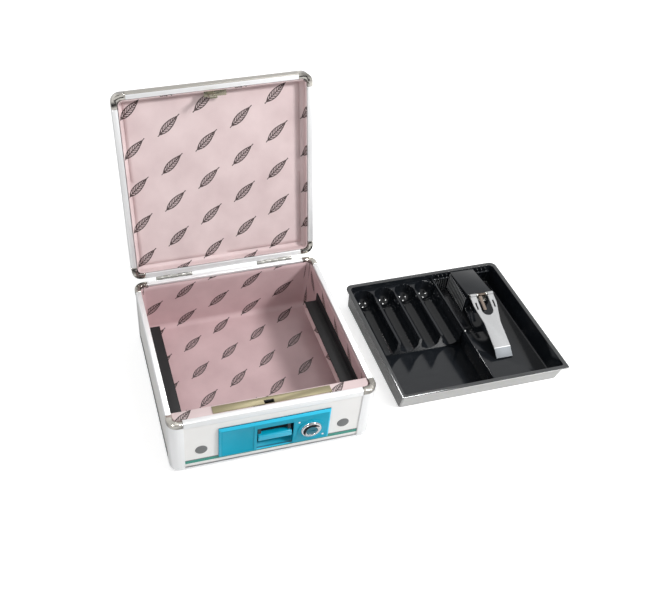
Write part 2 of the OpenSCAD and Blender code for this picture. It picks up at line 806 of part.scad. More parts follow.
module lid_corners() color("silver") at_lid()
    at_corners(case_w / 2 - corner_r, case_d / 2 - corner_r)
        translate([0, 0, lid_z]) corner_piece() lid_profile();

module lid_panel() color("white") at_lid()
    translate([0, 0, lid_panel_z]) linear_extrude(panel_t)
        round_rect(case_w - 2 * panel_in - 2 * seam, case_d - 2 * panel_in - 2 * seam,
            corner_r - panel_in);

module lid_lining() color("rosybrown") at_lid() difference() {
    r_out = corner_r - wall_t - seam;
    low = lid_z + 1;
    translate([0, 0, low]) linear_extrude(lid_panel_z - low)
        round_rect(2 * inner_x - 2 * seam, 2 * inner_y - 2 * seam, r_out);
    translate([0, 0, low - 1]) linear_extrude(lid_panel_z - low + 1 - lining_t)
        round_rect(2 * (inner_x - lining_t), 2 * (inner_y - lining_t), r_out - lining_t);
}

// Angle bracket on the lid's front wall, with the hook that drops through the strike strip
catch_x = latch_x + 5.5;
catch_w = 28;

module lid_catch() color("silver") at_lid() difference() {
    wall_y = -inner_y + seam + lining_t;
    union() {
        translate([catch_x - catch_w / 2, wall_y, lid_z + 0.2]) cube([catch_w, 1.2, 10]);
        translate([catch_x - catch_w / 2, wall_y, lid_z + 0.2])
            cube([catch_w, latch_y + hook_t / 2 + 2.4 - wall_y, 1.2]);
        translate([latch_x - hook_w / 2, latch_y - hook_t / 2, rim_z - hook_drop])
            cube([hook_w, hook_t, hook_drop + lid_gap + 1.4]);
    }
    translate([hook_right - 5.5, latch_y - 3, nose_z - nose_h / 2 - 1]) cube([9, 6, nose_h + 2]);
    for (s = [-1, 1])
        translate([catch_x + s * (catch_w / 2 - 4), wall_y - 1, lid_z + 7]) pin_y(rivet_r, 4);
}

module catch_rivets() color("silver") at_lid()
    for (s = [-1, 1])
        translate([catch_x + s * (catch_w / 2 - 4), -inner_y + seam + lining_t + 1.2, lid_z + 7])
            rotate(180) rivet(1.2);

// ---- tray ----

module at_tray() translate([case_w / 2 + tray_away, -case_d / 2 + tray_back, 0]) children();

// Four corner posts of the tray's outline at one level, with its own inset at the front
module tray_posts(inset, front, z, h) {
    fr = tray_front_r;
    br = max(tray_back_r - inset / 2, 2);
    for (u = [inset + fr, tray_w - inset - fr])
        translate([u, front + fr, z]) cylinder(r = fr, h = h, $fn = 32);
    for (u = [inset + br, tray_w - inset - br])
        translate([u, tray_d - inset - br, z]) cylinder(r = br, h = h, $fn = 32);
}

// A tapered tub with a rounded foot and a leaning front
module tray_tub(wall, low, high) hull() {
    top_in = tray_lip + wall;
    foot_in = top_in + tray_draft;
    lean = tray_lip + front_lean + wall;
    tray_posts(foot_in + 2, lean + 1.5, low, 0.01);
    tray_posts(foot_in + 0.6, lean - 0.4, low + 0.8, 0.01);
    tray_posts(foot_in, lean - 1.4, low + tub_foot, 0.01);
    tray_posts(top_in, top_in, high - 0.01, 0.01);
}

module tray_body() color("#3a3d40") at_tray() difference() {
    union() {
        tray_tub(0, 0, tray_h);
        hull() tray_posts(0, 0, tray_h - lip_t, lip_t);
    }
    tray_tub(tray_t, tray_t, tray_h + 0.1);
}

// Where the tray's inner front face stands at a height above its floor's round
function inner_front(z) = tray_lip + tray_t + slip
    + (front_lean - 1.4) * (tray_h + 0.1 - z) / (tray_h - tray_t - tub_foot);

// A block standing on the tray's floor, its foot drawn in to clear the floor's round
module floor_block(u, v, w, d, h) {
    translate([u, v, tray_t + tub_foot]) cube([w, d, h - tub_foot]);
    translate([u + 2.4, v, tray_t]) cube([w - 2.4, d - 2.4, tub_foot]);
}

// Four coin channels side by side, each ending in a round scoop for a fingertip
module coin_rack() color("#17181a") at_tray() difference() {
    axis_z = tray_t + rack_floor + coin_r;
    scoop_r = coin_r + scoop_extra;
    scoop_v = rack_back - 1.6 - scoop_r;
    floor_block(tray_in, rack_front, rack_w, rack_len, rack_h);
    // round off the corner that stands in the tray's round back corner
    translate([tray_in, rack_back, 0]) difference() {
        translate([-1, -tray_back_r + 1, 0]) cube([tray_back_r, tray_back_r, tray_h]);
        translate([tray_back_r - 1, -tray_back_r + 1, -1]) cylinder(r = tray_back_r - 1, h = tray_h + 2);
    }
    for (k = [0:3]) translate([tray_in + rack_edge + coin_r + pitch * k, 0, axis_z]) {
        translate([0, rack_front - 1, 0]) pin_y(coin_r, scoop_v - rack_front + 1);
        translate([-coin_r, rack_front - 1, 0])
            cube([2 * coin_r, scoop_v - rack_front + 1, rack_h]);
        translate([0, scoop_v, 0]) {
            sphere(scoop_r);
            cylinder(r = scoop_r, h = rack_h);
        }
    }
}

module tray_divider() color("#2a2c2e") at_tray()
    translate([divider_u + divider_t / 2, 0, 0]) along_x(divider_t) polygon([
        [inner_front(tray_t + tub_foot) + 3, tray_t], [inner_front(tray_t + tub_foot), tray_t + tub_foot],
        [inner_front(divider_z), divider_z], [rack_back, divider_z],
        [rack_back, tray_t + tub_foot], [rack_back - 2.4, tray_t]
    ]);

module divider_peg() color("white") at_tray()
    translate([divider_u + divider_t / 2, stand_v - 55.5, divider_z])
        cylinder(r = divider_t / 2 - 0.1, h = 1.2);

// Stand moulded for the clip: a sloping block, a ramp before it and a pedestal for the bracket
module clip_stand() color("#4a4b4d") at_tray() {
    shoulder_v = clip_v - 7;
    translate([stand_u, 0, 0]) {
        along_x(stand_w) polygon([
            [stand_v - ramp_len, tray_t], [stand_v, tray_t + ramp_h],
            [stand_v, stand_front_z], [rack_back, stand_back_z], [rack_back, tray_t + tub_foot],
            [rack_back - 2.4, tray_t]
        ]);
        translate([-lug_w / 2 - 1, shoulder_v, tray_t])
            cube([lug_w + 2, stand_v - shoulder_v + 1, shoulder_z - tray_t]);
        // a fluted ledge on the back wall at either side
        ledge_len = (tray_w - tray_in - bill_u - stand_w) / 2 - 3;
        for (s = [-1, 1]) translate([s * (stand_w + ledge_len - 0.2) / 2, 0, 0]) {
            translate([-ledge_len / 2, rack_back - 5, stand_back_z - 7]) cube([ledge_len, 5, 1.6]);
            for (k = [-1, 0, 1]) translate([k * ledge_len / 4 - ledge_fin_t / 2, rack_back - 4, 0])
                translate([0, 0, stand_back_z - 5.6]) cube([ledge_fin_t, 4, 5.6]);
        }
    }
}

module at_clip() at_tray() translate([stand_u, clip_v, clip_z]) children();

// Two drilled lugs on a sole plate, screwed to the stand's shoulder
module clip_bracket() color("silver") at_clip() difference() {
    drop = clip_z - shoulder_z;
    union() {
        translate([-lug_w / 2, -5, -drop]) cube([lug_w, 8, 1.2]);
        for (s = [-1, 1]) translate([s * (lug_w - lug_t) / 2 - lug_t / 2, 0, 0]) {
            translate([0, -2.4, -drop]) cube([lug_t, 4.8, drop]);
            pin_x(clip_knuckle_r - 0.2, lug_t);
        }
    }
    translate([-lug_w, 0, 0]) pin_x(clip_pin_r + run_gap, 2 * lug_w);
}

module clip_pin() color("gainsboro") at_clip()
    translate([-clip_head_w / 2 - 0.6, 0, 0]) pin_x(clip_pin_r, clip_head_w + 1.2);

// Spring coil round the pin, with a leaf that reaches forward inside the fork
module clip_spring() color("peru") at_clip() {
    coil_len = lug_w - 2 * lug_t - 0.6;
    difference() {
        union() {
            translate([-coil_len / 2, 0, 0]) pin_x(2.2, coil_len);
            rotate([clip_slope, 0, 0]) translate([-coil_len / 2 + 0.2, -leaf_reach, -spring_t / 2])
                cube([coil_len * 0.45, leaf_reach - clip_pin_r - 0.5, spring_t]);
        }
        translate([-coil_len, 0, 0]) pin_x(clip_pin_r + run_gap, 2 * coil_len);
    }
}

// Forked sheet clip with curled ears on the pin and a bent tip
module bill_clip() color("gainsboro") at_clip() difference() {
    head = clip_head_w / 2;
    arm = clip_arm_w / 2;
    ear_len = head - fork_w / 2;
    root = (clip_pin_r + clip_knuckle_r) / 2;
    bend_at = clip_len - 3;
    bend = tip_slope - clip_slope;
    half = clip_t / 2;
    union() {
        rotate([clip_slope, 0, 0]) {
            translate([0, 0, -clip_t / 2]) linear_extrude(clip_t) difference() {
                polygon([
                    [-head, -root], [-head, -clip_cheek], [-arm, -clip_neck], [-arm, -bend_at],
                    [arm, -bend_at], [arm, -clip_neck], [head, -clip_cheek], [head, -root]
                ]);
                translate([-fork_w / 2, -24]) square([fork_w, 30]);
                translate([0, -24]) circle(fork_w / 2);
                for (s = [-1, 1]) translate([s * (head + fork_w / 2) / 2 - 1.2, -22])
                    square([2.4, 11]);
            }
            // the bent tip, mitred at the bend
            translate([0, -clip_len, 0]) along_x(2 * arm) polygon([
                [3, half], [-half * tan(bend / 2), half],
                [-tip_len * cos(bend) - half * sin(bend), -tip_len * sin(bend) + half * cos(bend)],
                [-tip_len * cos(bend) + half * sin(bend), -tip_len * sin(bend) - half * cos(bend)],
                [half * tan(bend / 2), -half], [3, -half]
            ]);
        }
        for (s = [-1, 1]) translate([s * (head - ear_len / 2), 0, 0])
            pin_x_mid(clip_knuckle_r, ear_len - 0.4);
    }
    translate([-head - 1, 0, 0]) pin_x(clip_pin_r + run_gap, 2 * head + 2);
}

floor_panel();
front_panel();
back_panel();
left_panel();
right_panel();
corner_posts();
bottom_rails();
bottom_corners();
base_rim_front();
base_rim_back();
base_rim_left();
base_rim_right();
base_rim_corners();
feet();
base_lining();
front_ledge();
strike_strip();
left_batten();
right_batten();
left_tray_rail();
right_tray_rail();
front_plate();
plate_nuts();
lock_marks();
carry_handle();
handle_pin();
lock_housing();
lock_nut();
lock_cylinder();
lock_cam();
lock_bolt();
bolt_guides();
panel_plugs();
front_stripe();
hinge_base_leaves();
hinge_lid_leaves();
hinge_pins();
hinge_base_rivets();
hinge_lid_rivets();
lid_panel();
lid_rail_front();
lid_rail_back();
lid_rail_left();
lid_rail_right();
lid_corners();
lid_lining();
lid_catch();
catch_rivets();
tray_body();
coin_rack();
tray_divider();
divider_peg();
clip_stand();
clip_bracket();
clip_pin();
clip_spring();
bill_clip();
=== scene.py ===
# %% [markdown]
# # A lockable case with a lift-out tray
# The construction comes packed from the CAD step as named nodes that ride on bodies: the case,
# its lid, the tray, the note clip, the carrying grip and the lock. This notebook gives them
# their looks. Nothing that moves or fits is changed here: a node is either given a finish, or
# it is hidden and a finer piece of the same size stands in its place.

# %% Load the frame
import json
import math

import bmesh
import bpy
from mathutils import Matrix, Vector

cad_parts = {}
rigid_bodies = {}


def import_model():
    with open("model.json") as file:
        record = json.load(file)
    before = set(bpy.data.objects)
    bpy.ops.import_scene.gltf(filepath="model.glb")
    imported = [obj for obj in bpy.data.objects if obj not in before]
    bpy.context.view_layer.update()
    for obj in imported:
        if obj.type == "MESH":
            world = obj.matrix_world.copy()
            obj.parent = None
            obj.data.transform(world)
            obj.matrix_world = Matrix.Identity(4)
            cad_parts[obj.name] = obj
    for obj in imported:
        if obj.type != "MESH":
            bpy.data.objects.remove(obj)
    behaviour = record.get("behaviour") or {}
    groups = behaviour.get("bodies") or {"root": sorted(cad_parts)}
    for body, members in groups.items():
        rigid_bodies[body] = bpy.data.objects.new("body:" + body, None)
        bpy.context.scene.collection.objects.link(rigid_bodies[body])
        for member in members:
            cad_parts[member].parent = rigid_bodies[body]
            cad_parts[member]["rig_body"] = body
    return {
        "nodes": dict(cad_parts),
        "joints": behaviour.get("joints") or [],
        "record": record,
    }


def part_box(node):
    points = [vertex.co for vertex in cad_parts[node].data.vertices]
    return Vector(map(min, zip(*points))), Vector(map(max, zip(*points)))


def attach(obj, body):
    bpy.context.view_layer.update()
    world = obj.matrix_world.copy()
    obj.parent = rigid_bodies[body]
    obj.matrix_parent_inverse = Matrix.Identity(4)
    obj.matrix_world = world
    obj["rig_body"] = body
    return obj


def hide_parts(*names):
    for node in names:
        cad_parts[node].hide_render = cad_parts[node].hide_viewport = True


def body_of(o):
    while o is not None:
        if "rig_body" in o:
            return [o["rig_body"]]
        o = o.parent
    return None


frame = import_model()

for left_over in ("Cube", "Light", "Camera"):
    if left_over in bpy.data.objects:
        bpy.data.objects.remove(bpy.data.objects[left_over])
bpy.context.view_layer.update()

MM = 0.001
lid_hinge = next(joint for joint in frame["joints"] if joint["name"] == "lid_hinge")
HINGE, LID_OPEN = Vector(lid_hinge["pos_m"]), math.radians(lid_hinge["range_deg"][1])


def show(name, data):
    """Puts an object that has some data into the scene."""
    made = bpy.data.objects.new(name, data)
    bpy.context.scene.collection.objects.link(made)
    return made


# %% [markdown]
# ## Camera
# The view is that of a product picture: from the front left, 44 degrees above the table, with
# a normal lens. The frame is a cut-out of a larger picture, so the lens is shifted sideways
# and not turned: turning it would make the upright edges lean.

# %% Place the camera
FRAME_W, FRAME_H = 645, 593
FOCAL_PX = 815.9
CENTRE_PX = (221.5, 311.7)
EYE = Vector((-0.1957, -0.6840, 0.8193))
AZIMUTH, ELEVATION = math.radians(-13.28), math.radians(44.20)
SENSOR = 36.0


def look_matrix(azimuth, elevation, eye):
    """The pose of a camera that looks down at an elevation, from an azimuth."""
    back = Vector((math.sin(azimuth) * math.cos(elevation),
                   -math.cos(azimuth) * math.cos(elevation), math.sin(elevation)))
    right = Vector((math.cos(azimuth), math.sin(azimuth), 0))
    up = back.cross(right)
    turn = Matrix((right, up, back)).transposed().to_4x4()
    return Matrix.Translation(eye) @ turn


camera_data = bpy.data.cameras.new("camera")
camera_data.sensor_width = SENSOR
camera_data.lens = FOCAL_PX / FRAME_W * SENSOR
camera_data.shift_x = (FRAME_W / 2 - CENTRE_PX[0]) / FRAME_W
camera_data.shift_y = (CENTRE_PX[1] - FRAME_H / 2) / FRAME_W
camera = show("camera", camera_data)
camera.matrix_world = look_matrix(AZIMUTH, ELEVATION, EYE)
bpy.context.scene.camera = camera
print("lens %.1f mm, shift %.3f %.3f"
      % (camera_data.lens, camera_data.shift_x, camera_data.shift_y))

# %% [markdown]
# ## Node trees in Python
# A finish is easier to read as a formula than as a list of nodes. `Wire` wraps one output of a
# node, so that `1 - wear * 0.2` adds the Math nodes by itself. `Graph` is a node tree that makes
# every other node with a single method, and `Finish` is the graph of one material.

# %% Wires, graphs and finishes
def by_maths(operation):
    """An operator's method: it puts the wire and what follows through one Math node."""
    return lambda wire, *others: wire.maths(operation, *others)


class Wire:
    """One output of a node, which Python's operators can work on."""

    __add__ = __radd__ = by_maths("ADD")
    __sub__ = by_maths("SUBTRACT")
    __mul__ = __rmul__ = by_maths("MULTIPLY")
    __truediv__ = by_maths("DIVIDE")
    __mod__ = by_maths("FLOORED_MODULO")
    __gt__ = by_maths("GREATER_THAN")
    __lt__ = by_maths("LESS_THAN")
    __abs__ = by_maths("ABSOLUTE")

    def __init__(self, graph, socket):
        self.graph, self.socket = graph, socket

    def maths(self, operation, *others):
        return self.graph.node("ShaderNodeMath", [self, *others], operation=operation)

    def __rsub__(self, other):
        return self.graph.node("ShaderNodeMath", [other, self], operation="SUBTRACT")


class Graph:
    """A node tree, and one method that makes any node in it."""

    def __init__(self, tree):
        self.tree = tree

    def join(self, socket, value):
        """Links a wire to a socket, or sets the socket to a number, a vector or a colour."""
        if isinstance(value, Wire):
            self.tree.links.new(value.socket, socket)
        else:
            socket.default_value = value

    def node(self, kind, inputs=(), out=0, **settings):
        """Makes a node: its settings first, then the values or wires of its inputs."""
        made = self.tree.nodes.new(kind)
        for setting, value in settings.items():
            setattr(made, setting, value)
        pairs = inputs.items() if isinstance(inputs, dict) else enumerate(inputs)
        for key, value in pairs:
            self.join(made.inputs[key], value)
        return Wire(self, made.outputs[out])

    def split(self, vector):
        """The x, y and z of a vector, one wire each."""
        parts = self.node("ShaderNodeSeparateXYZ", [vector]).socket.node
        return [Wire(self, part) for part in parts.outputs]


class Finish(Graph):
    """The node tree of one material, which ends in a Principled shader."""

    def __init__(self, name, colour, roughness, metallic=0.0):
        self.material = bpy.data.materials.new(name)
        self.material.use_nodes = True
        super().__init__(self.material.node_tree)
        self.shader = self.tree.nodes["Principled BSDF"]
        self.feed("Base Color", (*colour, 1.0))
        self.feed("Roughness", roughness)
        self.feed("Metallic", metallic)

    def feed(self, socket, value):
        """Sets one of the shader's sockets to a number, a colour or a wire."""
        self.join(self.shader.inputs[socket], value)

    def place(self, scale=(1, 1, 1)):
        """Object coordinates in metres, scaled."""
        here = self.node("ShaderNodeTexCoord", out="Object")
        return self.node("ShaderNodeMapping", {"Vector": here, "Scale": scale})

    def noise(self, where, scale, detail=2.0, roughness=0.5):
        """Soft noise between 0 and 1."""
        return self.node("ShaderNodeTexNoise", {"Vector": where, "Scale": scale,
                                                "Detail": detail, "Roughness": roughness})

    def blend(self, factor, first, second):
        """A colour between two colours."""
        pair = [c if isinstance(c, Wire) else (*c, 1.0) for c in (first, second)]
        return self.node("ShaderNodeMix", {0: factor, 6: pair[0], 7: pair[1]}, out=2,
                         data_type="RGBA")

    def paint(self, factor, first, second):
        """Feeds the base colour with a blend of two colours."""
        self.feed("Base Color", self.blend(factor, first, second))

    def bump(self, height, depth, strength=1.0):
        """Feeds the shader's normal from a height between 0 and 1 and a depth in metres."""
        self.feed("Normal", self.node("ShaderNodeBump", {"Height": height, "Distance": depth,
                                                         "Strength": strength}))


print("finishes are formulas from here on")

# %% [markdown]
# ## Light and surroundings
# A product like this stands on white paper in a white tent, with one lamp high on the right
# that gives the shadows their direction. Two small lamps above only put a glint on shiny
# surfaces. The world is a plain fill, at which a colour comes out about as it is written, but
# the camera and mirror-like metal see pure white. Chrome that mirrors nothing but white looks
# like paper, so dark cards stand where a studio is dark: only reflections see them.

# %% World, lamps, floor and cards
FILL, PAPER_GLOW = 0.58, 0.50
PAPER_HALF = 6.0

world = bpy.data.worlds.new("tent")
world.use_nodes = True
air = Graph(world.node_tree)
seen = air.node("ShaderNodeLightPath", out="Is Camera Ray")
for kind in ("Is Glossy Ray", "Is Transmission Ray"):
    seen = seen.maths("MAXIMUM", air.node("ShaderNodeLightPath", out=kind))
level = air.node("ShaderNodeMapRange", {"Value": seen, "To Min": FILL, "To Max": 1.0})
backdrop = air.tree.nodes["Background"]
air.join(backdrop.inputs["Strength"], level)
air.join(backdrop.inputs["Color"], (1, 1, 1, 1))
bpy.context.scene.world = world
bpy.context.scene.view_settings.view_transform = "Standard"


def lamp(name, direction, distance, size, power, aim=(0.05, 0.0, 0.05)):
    """A square lamp that stands in a direction from what it is aimed at."""
    data = bpy.data.lights.new(name, "AREA")
    data.size, data.energy = size, power
    made = show(name, data)
    away = Vector(direction).normalized()
    turn = away.to_track_quat("Z", "Y").to_matrix().to_4x4()
    made.matrix_world = Matrix.Translation(Vector(aim) + away * distance) @ turn
    return made


lamp("key_lamp", (0.90, -0.60, 1.00), distance=2.4, size=0.38, power=44.0)
for number, direction in enumerate(((-0.55, -0.30, 1.0), (0.25, 0.35, 1.0))):
    glint = lamp("glint_lamp_%d" % number, direction, distance=2.2, size=0.34, power=24.0)
    glint.visible_diffuse = False


def add_mesh(name, points, faces, finish):
    """A mesh object at the origin, in the scene."""
    mesh = bpy.data.meshes.new(name)
    mesh.from_pydata([tuple(p) for p in points], [], faces)
    mesh.validate()
    mesh.materials.append(finish.material)
    return show(name, mesh)


def sheet(name, corners, finish):
    """A flat rectangle in the studio."""
    made = add_mesh(name, corners, [(0, 1, 2, 3)], finish)
    return made


paper = Finish("paper", (0.86, 0.86, 0.86), 0.5)
lift = paper.node("ShaderNodeLightPath", out="Is Camera Ray") * PAPER_GLOW
glow = paper.node("ShaderNodeEmission", {"Strength": lift})
lit_paper = paper.node("ShaderNodeAddShader", [Wire(paper, paper.shader.outputs[0]), glow])
paper.join(paper.tree.nodes["Material Output"].inputs["Surface"], lit_paper)
sheet("floor", [(x * PAPER_HALF, y * PAPER_HALF, 0)
                for x, y in ((-1, -1), (1, -1), (1, 1), (-1, 1))], paper)

dark = Finish("dark_card", (0.012, 0.012, 0.014), 0.9)
behind = look_matrix(AZIMUTH, ELEVATION, EYE * 1.5)
CARDS = {
    "card_front": [(-1.6, -2.4, 0.02), (1.6, -2.4, 0.02), (1.6, -2.4, 0.55), (-1.6, -2.4, 0.55)],
    "card_left": [(-2.2, -0.9, 0.1), (-2.2, 0.9, 0.1), (-2.2, 0.9, 0.5), (-2.2, -0.9, 0.5)],
    "card_photographer": [behind @ Vector(corner) for corner in (
        (-0.32, -0.45, 0), (0.32, -0.45, 0), (0.32, 0.28, 0), (-0.32, 0.28, 0))],
}
for name, corners in CARDS.items():
    card = sheet(name, corners, dark)
    card.visible_camera = card.visible_diffuse = card.visible_shadow = False
print("fill", FILL, "- a key lamp, 2 glint lamps and", len(CARDS), "dark cards")

# %% [markdown]
# ## Finishes of the hard parts
# The case is made of a few materials, each with its own surface. Aluminium extrusions are
# brushed along their length, so the streaks need stretched noise that follows the rail. The
# panels are laminate with a faint orange peel. The corner castings are polished and show the
# room. Each finish below is named after what it is. Only the lining's slot has none of them.

# %% Metals
def brushed(name, colour, along, roughness=0.36, metallic=0.45, depth=0.000012):
    """Metal with fine streaks along one axis, and broad clouds of handling marks."""
    made = Finish(name, colour, roughness, metallic)
    stretch = [900.0, 900.0, 900.0]
    stretch["xyz".index(along)] = 9.0
    streak = made.noise(made.place(stretch), 1.0, detail=3.0, roughness=0.6)
    cloud = made.noise(made.place(), 32.0, detail=3.0)
    made.feed("Roughness", roughness - 0.08 + streak * 0.14 + cloud * 0.05)
    dull = tuple(c * 0.86 for c in colour)
    made.paint(streak * 0.55 + cloud * 0.3, colour, dull)
    made.bump(streak, depth)
    return made


def cast(name, colour, reflection_dark, roughness=0.12):
    """Polished casting: smooth, with a slow ripple, small rub marks and painted dark reflections.
    """
    made = Finish(name, colour, roughness, 1.0)
    ripple = made.noise(made.place(), 90.0)
    rub = made.noise(made.place((1, 1, 3)), 700.0, detail=3.0)
    made.feed("Roughness", roughness + (rub > 0.62) * 0.12 + ripple * 0.05)
    # Painted reflection: slow clouds darken the metal as if it mirrored a dark room.
    cloud = made.noise(made.place((1, 1, 2.2)), 62.0, detail=0.0)
    made.paint((cloud - 0.50) * 4.0 + 0.40, colour, tuple(c * reflection_dark for c in colour))
    made.bump(ripple, 0.0002)
    return made


RIM_COLOUR = (0.86, 0.865, 0.87)
rim_x, rim_y, rim_z = (brushed("rim_brushed_" + axis, RIM_COLOUR, axis) for axis in "xyz")
rim_round = brushed("rim_round", RIM_COLOUR, "z", depth=0.000006)
nickel = cast("cast_nickel", (0.58, 0.555, 0.51), 0.42)
hinge_steel = brushed("hinge_steel", (0.40, 0.395, 0.37), "x", 0.28, 0.95)
catch_steel = brushed("catch_steel", (0.34, 0.315, 0.24), "x", 0.22, 1.0)
shadowed_steel = brushed("shadowed_steel", (0.030, 0.032, 0.034), "x", 0.5, 0.3)
strike_brass = brushed("strike_brass", (0.245, 0.215, 0.125), "x", 0.42, 0.5, 0.00002)
spring_bronze = brushed("spring_bronze", (0.070, 0.052, 0.040), "y", 0.42, 0.6)
print("plain metals ready")

# %% [markdown]
# ## Metals with marked places
# Some rails aren't the same all over. The bottom rails have a painted shadow line under the
# panel, the lid's front rail is painted in shade, darker on its skirt, and the note clip is
# painted lit on its arm, shaded on its tip, with a painted highlight on its fold. Each place is a
# mask: a wire that is 1 inside and 0 outside, made by comparing a coordinate with a CAD size.

# %% Masks on metal
SEAM_SHADOW_WIDTH, SKIRT_THICK = 0.9 * MM, 1.2 * MM
CLIP_ARM, FOLD_BEFORE, FOLD_AFTER = 11.0 * MM, 0.2 * MM, 0.8 * MM

rim_seam_shadow = brushed("rim_seam_x", RIM_COLOUR, "x")
height = rim_seam_shadow.split(rim_seam_shadow.place())[2]
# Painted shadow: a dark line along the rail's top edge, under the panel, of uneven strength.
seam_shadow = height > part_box("bottom_rails")[1][2] - SEAM_SHADOW_WIDTH
uneven_seam_shadow = rim_seam_shadow.noise(rim_seam_shadow.place((1, 1, 0.1)), 24.0)
rim_seam_shadow.paint(seam_shadow * (0.55 + uneven_seam_shadow * 0.5), RIM_COLOUR, (0.045, 0.045, 0.05))

# Painted shade: the lid's front rail is darker all over, and darker still on its skirt.
rim_shade = brushed("rim_shade_x", (0.60, 0.58, 0.55), "x")
lean = LID_OPEN - math.pi / 2
skirt_top = max(v.co.z * math.cos(lean) + v.co.y * math.sin(lean)
                for v in frame["nodes"]["lid_rail_front"].data.vertices) - SKIRT_THICK
_, depth, height = rim_shade.split(rim_shade.place())
on_skirt = height * math.cos(lean) + depth * math.sin(lean) > skirt_top
rim_shade.paint(on_skirt, RIM_COLOUR, (0.38, 0.36, 0.325))

clip_satin = brushed("clip_satin", (0.40, 0.405, 0.41), "y", 0.56, 0.12, 0.00002)
fold_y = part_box("bill_clip")[0][1] + CLIP_ARM
along = clip_satin.split(clip_satin.place())[1]
satin = clip_satin.noise(clip_satin.place((900, 9, 900)), 1.0, detail=3.0, roughness=0.6)
# Painted light: a lit tone on the arm, a shaded tone on the tip and a painted highlight on the
# fold.
lit_arm = clip_satin.blend(satin, (0.42, 0.425, 0.43), (0.33, 0.335, 0.34))
shaded_tip = clip_satin.blend(satin, (0.29, 0.31, 0.33), (0.23, 0.25, 0.27))
fold_highlight = (along > fold_y - FOLD_BEFORE) * (along < fold_y + FOLD_AFTER)
clip_satin.paint(fold_highlight, clip_satin.blend(along < fold_y, lit_arm, shaded_tip), (0.85, 0.86, 0.87))


def turned_chrome():
    """Polished ring round the lock: turned steps with painted shade and a painted dark
    reflection.
    """
    made = Finish("turned_chrome", (0.80, 0.80, 0.81), 0.10, 1.0)
    low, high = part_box("lock_housing")
    middle_x, middle_z = ((low[k] + high[k]) / 2 for k in (0, 2))
    reach = (high[0] - low[0]) / 2
    right, _, up = made.split(made.place())
    right, up = (right - middle_x) / reach, (up - middle_z) / reach
    out = (right * right + up * up).maths("SQRT")
    aside = ((right - 0.20) * (right - 0.20) + (up + 0.26) * (up + 0.26)).maths("SQRT")
    # Painted reflection: a dark bite where the ring would mirror the dark room and a silver
    # mottle; the turned steps also get painted shade.
    dark_reflection = (aside > 0.80) * (out < 0.80)
    steps = ((out % 0.115) < 0.030) * (out > 0.50)
    mirror = made.noise(made.place(), 260.0, detail=1.0)
    silver_reflection = made.blend(mirror, (0.84, 0.84, 0.85), (0.52, 0.53, 0.55))
    made.paint(dark_reflection.maths("MAXIMUM", steps * 0.72), silver_reflection, (0.012, 0.016, 0.018))
    made.feed("Roughness", 0.08 + mirror * 0.10)
    made.bump(steps, 0.00012)
    return made


bezel_chrome = turned_chrome()
print("seam %.1f mm, fold at y = %.1f mm" % (SEAM_SHADOW_WIDTH / MM, fold_y / MM))

# %% [markdown]
# ## Plastics, paint and rubber
# Moulded plastic is never quite flat: it has a fine spark-eroded grain and a slow sink. The
# tray is one black plastic, rough outside and polished inside; its outside is painted with a grey
# reflection, chosen by a mask on which way a face looks. The front plate has painted shade on its
# back edge and in its narrow pocket under the grip, and a painted highlight on its bevel; the
# grip's arms are painted in shade.

# %% Plastics
def moulded(name, colour, roughness, grain=0.00001, grain_size=2600.0):
    """Moulded plastic or paint with a fine grain and a slow sink."""
    made = Finish(name, colour, roughness)
    fine = made.noise(made.place(), grain_size)
    slow = made.noise(made.place(), 55.0)
    made.paint(slow, colour, tuple(c * 0.93 for c in colour))
    made.feed("Roughness", roughness - 0.05 + fine * 0.1 + slow * 0.04)
    made.bump(fine * 0.7 + slow * 0.3, grain)
    return made


laminate = moulded("white_laminate", (0.80, 0.79, 0.775), 0.40, 0.00003, 900.0)
rubber = moulded("foot_rubber", (0.035, 0.035, 0.037), 0.75, 0.00004, 1800.0)
rail_plastic = moulded("rail_plastic", (0.008, 0.008, 0.009), 0.55, 0.00003, 1500.0)
rail_plastic.feed("Specular IOR Level", 0.25)
key_blue = moulded("key_face", (0.005, 0.135, 0.190), 0.32)
white_mark = moulded("white_mark", (0.86, 0.87, 0.86), 0.5)
grey_plug = moulded("grey_plug", (0.155, 0.16, 0.16), 0.55, 0.00005, 1400.0)
# The flutes are the tray's black plastic, painted lighter as a painted highlight on the ribs.
rib_highlight = moulded("ribbed_plastic", (0.20, 0.205, 0.21), 0.25)
ribbed_flank = moulded("ribbed_flank", (0.52, 0.53, 0.54), 0.30)

GRIP_BLUE, SHADED_ARMS_ABOVE = (0.0, 0.42, 0.61), 47.1 * MM
grip_blue = moulded("turquoise_grip", GRIP_BLUE, 0.28)
grip_blue.feed("Coat Weight", 0.2)
# Painted shade: the grip's arms above this height lie in the pocket's shadow.
shaded_arms = grip_blue.split(grip_blue.place())[2] > SHADED_ARMS_ABOVE
scuffed = grip_blue.noise(grip_blue.place((0.4, 1, 1)), 120.0)
grip_blue.paint(shaded_arms, grip_blue.blend(scuffed, GRIP_BLUE, (0.0, 0.36, 0.54)),
                (0.0, 0.020, 0.030))
print("plain plastics ready")

# %% Stripe, plate and tray
STRIPE_PROUD, PLATE_PROUD, LINE_WIDTH, BEVEL = 0.3 * MM, 4.0 * MM, 0.9 * MM, 2.6 * MM
BACK_EDGE, BEHIND_GRIP = (2.7 * MM, 4.2 * MM), 10.0 * MM
POCKET_DEPTH, POCKET_HALF, POCKET_RISE = 1.4 * MM, 22.6 * MM, (-6.0 * MM, 19.0 * MM)
PLATE_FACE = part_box("front_stripe")[0][1] + STRIPE_PROUD - PLATE_PROUD
PLATE_MID, PLATE_HALF = ([(high + way * low) / 2 for low, high in zip(*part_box("front_plate"))]
                         for way in (1, -1))


